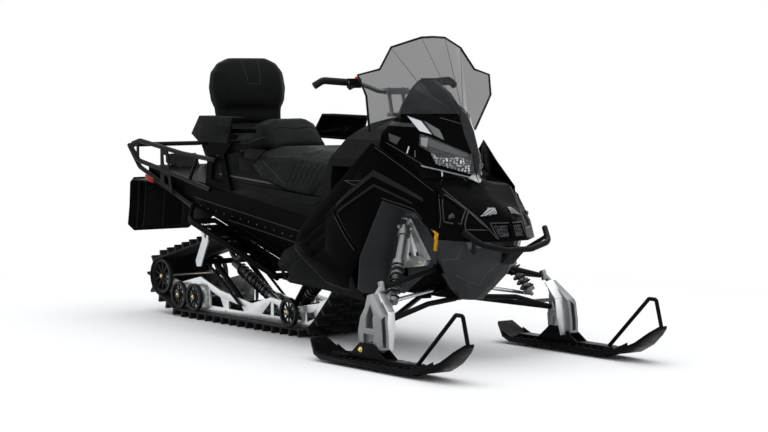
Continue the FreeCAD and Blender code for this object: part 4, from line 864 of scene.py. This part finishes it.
class SNOWMOBILE_OT_panel_details(bpy.types.Operator):
    """Lay the satin chevron bands on the side panels, and paint highlights as pale lines along the edges and
    creases of the side panels and foot pans
    """
    bl_idname = "snowmobile.panel_details"
    bl_label = "Side panel bands"

    def execute(self, context):
        bands = [
            [(4.98, 6.84), (3.10, 8.24), (2.92, 8.12), (5.02, 6.64)],
            [(3.10, 8.24), (2.86, 8.40), (0.24, 7.24), (0.24, 7.07), (2.92, 8.12)],
            [(4.92, 6.49), (2.86, 7.78), (2.84, 7.66), (4.95, 6.37)],
            [(2.86, 7.78), (0.84, 7.03), (0.84, 6.94), (2.84, 7.66)],
        ]
        skin_plates("chevron_bands", "side_panels", SIDE, 0.0012, "Chevron band", bands)
        # Painted highlights: pale lines along the panel edges and creases, for the light that they catch
        edges = [
            [(2.84, 9.42), (2.30, 9.10), (1.63, 8.70), (0.98, 8.33), (0.22, 7.87), (-0.28, 7.58)],
            [(5.28, 6.38), (3.90, 4.73)],
            [(5.06, 6.36), (3.80, 4.76)],
            [(4.62, 7.86), (3.70, 7.64)],
            [(4.62, 7.86), (3.48, 7.90)],
            [(2.50, 7.16), (0.80, 6.74), (0.34, 6.32)],
        ]
        surface_bars("panel_edges", "side_panels", SIDE, 0.0017, "Panel edge", edges)
        # Painted highlight along the edge of each foot pan
        pan_edge = [(4.60, 2.86), (6.20, 3.14), (8.14, 4.62)]
        surface_bars("foot_pan_edges", "foot_pans", SIDE, 0.0017, "Panel edge", [pan_edge])
        return {"FINISHED"}


class SNOWMOBILE_OT_windshield(bpy.types.Operator):
    """Glaze the windshield in smoked plastic and run the black trim round its edge"""
    bl_idname = "snowmobile.windshield"
    bl_label = "Windshield"

    def execute(self, context):
        rounded_copy("windshield", "windshield_pane", "Smoked glazing", 0.0012, degrees=30.0)
        edge = ((0.0, 2.67, 14.34), (0.67, 2.67, 14.31), (1.98, 3.19, 13.87), (2.71, 3.07, 12.88),
                (3.76, 3.29, 12.63), (3.56, 2.92, 11.70), (3.03, 3.40, 10.10))
        trim = self.bar("windshield_trim", edge, 0.0052)
        group_of("windshield_trim", [trim], "Recess black")
        # Painted highlights: pale bars along the two bends of the pane, for the light reflected there
        creases = (((0.67, 2.67, 14.30), (0.12, 0.62, 10.85)), ((2.0, 3.2, 13.85), (0.60, 1.25, 10.95)))
        bars = [self.bar("crease", crease, 0.0012) for crease in creases]
        group_of("windshield_creases", bars, "Glazing crease")
        return {"FINISHED"}

    # Bar that lies half a pane's thickness behind the outer face
    def bar(self, name, places, radius):
        depth = Vector((0.0, 0.002, 0.0))
        return round_bar(name, [spot(*point) + depth for point in places], radius)


class SNOWMOBILE_OT_seats(bpy.types.Operator):
    """Swell the covers of the two seats and the backrest over their foam, and sew their seams"""
    bl_idname = "snowmobile.seats"
    bl_label = "Padded seats"

    def execute(self, context):
        bolster = ((9.7, 13.25), (12.1, 14.35), (12.9, 14.9), (13.6, 15.6), (14.6, 16.2), (16.2, 16.95),
                   (18.2, 18.2))
        driver = self.cover("driver_cushion")
        self.stitch(driver, self.cover("passenger_cushion", bolster), self.cover("backrest"))
        self.skirts()
        return {"FINISHED"}

    # Closes the side between the two cushions and the seat base, as the real skirt does
    def skirts(self):
        skirts = (
            ("passenger_cushion vinyl", "seat_vinyl", -2.10,
             ((15.57, 8.87), (14.60, 8.98), (13.30, 8.95), (13.70, 8.66), (14.12, 8.42), (15.29, 8.48))),
            ("Satin plastic", "satin_plastic", -2.13,
             ((15.57, 8.50), (15.29, 8.48), (14.12, 8.42), (14.05, 8.12), (13.90, 7.80), (15.57, 7.92))),
        )
        for finish, slot, across, outline in skirts:
            plate = flat_plate("skirt", upright(across, outline), 0.010, 0.002)
            group_of(slot + "_skirts", [plate], finish)

    # Moves the foam along the seat, so that the raised front bolster stands where it is sewn
    def moved_along(self, piece, table):
        for vertex in piece.data.vertices:
            along = vertex.co.y * 10.0 + 10.0
            for (start, new_start), (end, new_end) in zip(table, table[1:]):
                if start <= along <= end:
                    share = (along - start) / (end - start)
                    vertex.co.y = (new_start + (new_end - new_start) * share) / 10.0 - 1.0
                    break

    def cover(self, node, table=()):
        piece = merged_copy(node, node + "_cover")
        self.moved_along(piece, table)
        bevel(piece, 0.012, 3, 20.0)
        self.inflate(piece, settings("seat"))
        smooth(piece, 60.0)
        piece.data.materials.append(finish_of(node + " vinyl"))
        place(piece, "chassis")
        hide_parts(node)
        note_surface(piece.name, piece.data)
        return piece.name

    def inflate(self, piece, look):
        applied(piece, "Cover mesh", "REMESH", mode="VOXEL", voxel_size=look.cloth_voxel)
        applied(piece, "Soft foam", "SMOOTH", factor=0.5, iterations=4)
        rest = [vertex.co.copy() for vertex in piece.data.vertices]
        cloth = piece.modifiers.new("Cover", "CLOTH")
        fabric = {
            "quality": 4, "mass": 0.3, "tension_stiffness": 80.0, "compression_stiffness": 80.0,
            "bending_stiffness": 20.0, "use_pressure": True, "uniform_pressure_force": look.cloth_pressure,
        }
        for key, value in fabric.items():
            setattr(cloth.settings, key, value)
        cloth.settings.effector_weights.gravity = 0.0
        cloth.point_cache.frame_start = 1
        cloth.point_cache.frame_end = CLOTH_FRAMES
        for frame_number in range(1, CLOTH_FRAMES + 1):
            bpy.context.scene.frame_set(frame_number)
        bpy.ops.object.modifier_apply(modifier=cloth.name)
        bpy.context.scene.frame_set(1)
        for vertex, start in zip(piece.data.vertices, rest):
            move = vertex.co - start
            if move.length > look.swell_limit:
                vertex.co = start + move * (look.swell_limit / move.length)
        applied(piece, "Tightened cover", "SMOOTH", factor=0.5, iterations=5)

    def stitch(self, driver, passenger, backrest):
        quilt = [[(top, 8.55), (top - 0.05, 8.25), (top + 0.15, 8.0), (top + 0.10, 7.75), (top + 0.35, 7.5)]
                 for top in (8.75, 9.15, 9.55, 9.95, 10.35, 10.75)]
        table = (
            ("driver_quilting", driver, SIDE, 0.0016, "Cushion seam", 0.15, quilt),
            ("driver_welt", driver, SIDE, 0.0024, "Cushion welt", 0.2,
             [[(13.50, 8.42), (12.3, 7.92), (11.20, 7.34)], [(13.2, 8.62), (9.6, 8.72), (7.9, 8.55)]]),
            ("bolster_seams", passenger, ABOVE, 0.0022, "Cushion seam", 0.15,
             [[(-1.45, 14.62), (0.0, 14.55), (1.45, 14.62)], [(-1.30, 13.95), (0.0, 13.80), (1.30, 13.95)]]),
            ("passenger_welt", passenger, SIDE, 0.0024, "Cushion welt", 0.2,
             [[(14.1, 9.55), (15.2, 9.22), (16.4, 9.20), (17.6, 9.56)]]),
            ("backrest_inset", backrest, FRONT, 0.0018, "Cushion welt", 0.15,
             [[(-0.49, 13.30), (-0.36, 12.12), (0.36, 12.12), (0.49, 13.30)]]),
            ("backrest_fold", backrest, FRONT, 0.0022, "Cushion seam", 0.2,
             [[(-1.85, 11.20), (0.0, 11.12), (1.85, 11.20)], [(-1.85, 10.98), (0.0, 10.90), (1.85, 10.98)]]),
        )
        for name, cover, view, radius, finish, spacing, lines in table:
            surface_bars(name, cover, view, radius, finish, lines, "seat_vinyl", view is SIDE, spacing)


class SNOWMOBILE_OT_suspension(bpy.types.Operator):
    """Wind the spring coils and set the bolts of the front and rear suspension"""
    bl_idname = "snowmobile.suspension"
    bl_label = "Springs and bolts"

    def execute(self, context):
        front = (spot(-2.20, 1.85, 5.89), spot(-4.05, 0.45, 2.55))
        group_of("front_springs", [coil(front, (0.50, 0.90), 0.0285, 6, 0.0048)], "Spring black")
        rear = ((spot(0.0, 10.9, 3.1), spot(0.0, 13.4, 1.2)), (spot(0.0, 15.1, 1.05), spot(0.0, 19.4, 2.90)))
        coils = [coil(damper, (0.24, 0.86), 0.0275, 9, 0.0045) for damper in rear]
        group_of("skid_springs", coils, "Spring black", both=False)
        bolts = (
            ("hub_bolts", "axles", 0.0135,
             ((23.78, 1.98), (22.12, 1.15), (20.62, 1.15), (11.90, 1.15), (16.50, 4.04))),
            ("tower_bolts", "shock_towers", 0.010, ((2.05, 5.75), (1.35, 4.30), (2.30, 4.36))),
            ("rail_bolts", "slide_rails", 0.0085, ((19.85, 1.78), (18.1, 0.62), (14.9, 0.62))),
        )
        for name, node, radius, pairs in bolts:
            bolt_heads(name, [on_surface(node, SIDE, *pair) for pair in pairs], radius, "Zinc bolts")
        for side, sign in (("right", -1.0), ("left", 1.0)):
            saddle = Vector((sign * 0.605, -1.0, 0.085))
            bolt_heads("saddle_bolt_" + side, [saddle], 0.012, "Zinc bolts", (sign, 0.0, 0.0),
                       body="ski_" + side, both=False)
        return {"FINISHED"}


class SNOWMOBILE_OT_skis(bpy.types.Operator):
    """Mould the row of nubs along both edges of each ski"""
    bl_idname = "snowmobile.skis"
    bl_label = "Ski nubs"

    def execute(self, context):
        rows = (4.74, 6.06)
        nubs, first_nub, pitch = 15, -4.2, 0.48
        for node, sign in (("ski_right", -1.0), ("ski_left", 1.0)):
            select_none()
            bpy.ops.mesh.primitive_cone_add(vertices=8, radius1=0.0085, radius2=0.004, depth=0.009)
            nub = settle(bevel(bpy.context.object, 0.001, 1))
            places = [on_surface(node, ABOVE, sign * row, first_nub + index * pitch, 0.003)
                      for row in rows for index in range(nubs)]
            group_of(node + "_nubs", repeated(nub, places), "Ski plastic", node, False)
        return {"FINISHED"}


class SNOWMOBILE_OT_rear_details(bpy.types.Operator):
    """Add the rivets and beads of the tunnel, the ribs of the snow flap and the red side reflectors"""
    bl_idname = "snowmobile.rear_details"
    bl_label = "Tunnel, flap and reflectors"

    def execute(self, context):
        beads = [[self.on_tunnel(start, offset), self.on_tunnel(10.2, offset)]
                 for start, offset in ((20.0, 0.25), (17.4, -0.35))]
        surface_bars("tunnel_beads", "tunnel", SIDE, 0.0032, "Tunnel bead", beads, "black_sheet", spacing=1.0)
        rivets, first_rivet, pitch = 14, 10.4, 0.75
        places = [on_surface("tunnel", SIDE, *self.on_tunnel(first_rivet + index * pitch, -0.10))
                  for index in range(rivets)]
        bolt_heads("tunnel_rivets", places, 0.0060, "Rivet grey")
        ribs = [[(across, 4.35), (across, 6.85)] for across in (-1.6, -1.2, 0.0, 1.2, 1.6)]
        surface_bars("flap_ribs", "snow_flap", FRONT, 0.0040, "Flap rib", ribs, "flap_rubber", False, 0.5)
        reflector = upright(-2.50, ((24.10, 7.36), (23.30, 7.18), (23.32, 6.92), (24.12, 7.10)))
        plate = flat_plate("side_reflector", reflector, 0.012, 0.002)
        group_of("side_reflectors", [plate], "Red reflector")
        stripe = [(17.4, 7.66), (11.05, 7.30), (11.05, 7.22), (17.4, 7.58)]
        skin_plates("base_stripe", "seat_base", SIDE, 0.0015, "Base stripe", [stripe])
        return {"FINISHED"}

    # The tunnel falls towards the front, so its beads and rivets follow its slope
    def on_tunnel(self, along, offset):
        return along, 6.14 + (along - 20.43) * 0.125 + offset


class SNOWMOBILE_OT_nose_details(bpy.types.Operator):
    """Fold the belly of the nose, fit the amber strips and slotted brackets, and paint light as a paler patch
    on each wheel well liner
    """
    bl_idname = "snowmobile.nose_details"
    bl_label = "Nose and wheel wells"

    def execute(self, context):
        folds = [[(-0.42, 4.53), (-1.15, 4.61), (-1.54, 5.22)], [(-0.59, 3.86), (-1.33, 3.44), (-2.45, 4.45)]]
        surface_bars("nose_folds", "nose_pan", SIDE, 0.0016, "Nose fold", folds)
        bracket = [(-1.66, 5.38), (-2.38, 5.38), (-2.36, 5.16), (-1.72, 5.10)]
        skin_plates("nose_brackets", "nose_pan", SIDE, 0.0040, "Bracket grey", [bracket])
        self.spindle_faces()
        web = ((20.04, 6.16), (19.07, 6.36), (18.12, 5.55), (18.89, 5.00), (20.05, 5.03))
        webs = flat_plate("board_web", upright(-2.05, web), 0.004)
        group_of("board_webs", [webs], "Painted sheet")
        corners = ((-2.17, 0.10, 6.12), (-2.17, -0.33, 5.70), (-2.09, -0.10, 4.95), (-2.07, -0.27, 4.92),
                   (-2.14, -0.55, 5.70), (-2.19, -0.20, 5.90))
        strip = flat_plate("amber_strip", [spot(*corner) for corner in corners], 0.010)
        group_of("amber_strips", [strip], "Amber strip")
        # Painted light: a paler patch on one facet of each wheel well liner
        panel = [(2.55, 6.46), (0.95, 6.46), (0.95, 6.28), (2.40, 6.22)]
        skin_plates("well_panels", "well_liners", SIDE, 0.0020, "Well panel", [panel])
        return {"FINISHED"}

    # Cast plates that close the front of each spindle
    def spindle_faces(self):
        face = ((-4.98, 0.16, 3.24), (-4.52, 0.16, 3.13), (-4.56, -0.50, 2.42), (-4.60, -0.60, 1.64),
                (-4.78, -0.68, 0.75), (-5.38, -0.70, 0.75), (-5.19, -0.60, 1.68), (-5.11, -0.50, 2.46))
        for side, body in ((1.0, "spindle_right"), (-1.0, "spindle_left")):
            points = [spot(side * across, along, up) for across, along, up in face]
            plates = [flat_plate("face_top", points[:3] + points[7:], 0.006),
                      flat_plate("face_low", points[2:], 0.006)]
            group_of(body + "_face", plates, "Cast silver", body, False)


class SNOWMOBILE_OT_controls(bpy.types.Operator):
    """Set the red stop switch and the clamp bolts of the handlebar"""
    bl_idname = "snowmobile.controls"
    bl_label = "Handlebar switches"

    def execute(self, context):
        stop = on_surface("hand_controls", ABOVE, -1.98, 5.86, 0.004)
        bolt_heads("stop_switch", [stop], 0.0125, "Stop red", ABOVE, "steering", False)
        clamps = [on_surface("riser", ABOVE, across, 5.50) for across in (-0.40, 0.40)]
        bolt_heads("clamp_bolts", clamps, 0.007, "Bolt dark", ABOVE, body="steering", both=False)
        return {"FINISHED"}


# Sidebar, registration and run
OPERATORS = (
    SNOWMOBILE_OT_stage,
    SNOWMOBILE_OT_finishes,
    SNOWMOBILE_OT_headlamps,
    SNOWMOBILE_OT_hood_details,
    SNOWMOBILE_OT_pod_details,
    SNOWMOBILE_OT_panel_details,
    SNOWMOBILE_OT_windshield,
    SNOWMOBILE_OT_seats,
    SNOWMOBILE_OT_suspension,
    SNOWMOBILE_OT_skis,
    SNOWMOBILE_OT_rear_details,
    SNOWMOBILE_OT_nose_details,
    SNOWMOBILE_OT_controls,
)

GROUPS = (
    ("body", BodySettings),
    ("metal", MetalSettings),
    ("seat", SeatSettings),
    ("stage", StageSettings),
)


class SNOWMOBILE_PT_panel(bpy.types.Panel):
    bl_label = "Snowmobile"
    bl_idname = "SNOWMOBILE_PT_panel"
    bl_space_type = "VIEW_3D"
    bl_region_type = "UI"
    bl_category = "Snowmobile"

    def draw(self, context):
        for name, group in GROUPS:
            box = self.layout.box()
            for key in group.__annotations__:
                box.prop(settings(name), key)
        for operator in OPERATORS:
            self.layout.operator(operator.bl_idname)


def register():
    for name, group in GROUPS:
        bpy.utils.register_class(group)
        setattr(bpy.types.Scene, "snowmobile_" + name, bpy.props.PointerProperty(type=group))
    for operator in OPERATORS:
        bpy.utils.register_class(operator)
    bpy.utils.register_class(SNOWMOBILE_PT_panel)


def unregister():
    bpy.utils.unregister_class(SNOWMOBILE_PT_panel)
    for operator in reversed(OPERATORS):
        bpy.utils.unregister_class(operator)
    for name, group in reversed(GROUPS):
        delattr(bpy.types.Scene, "snowmobile_" + name)
        bpy.utils.unregister_class(group)


def main():
    register()
    for operator in OPERATORS:
        group, name = operator.bl_idname.split(".")
        getattr(getattr(bpy.ops, group), name)()


if __name__ == "__main__":
    main()
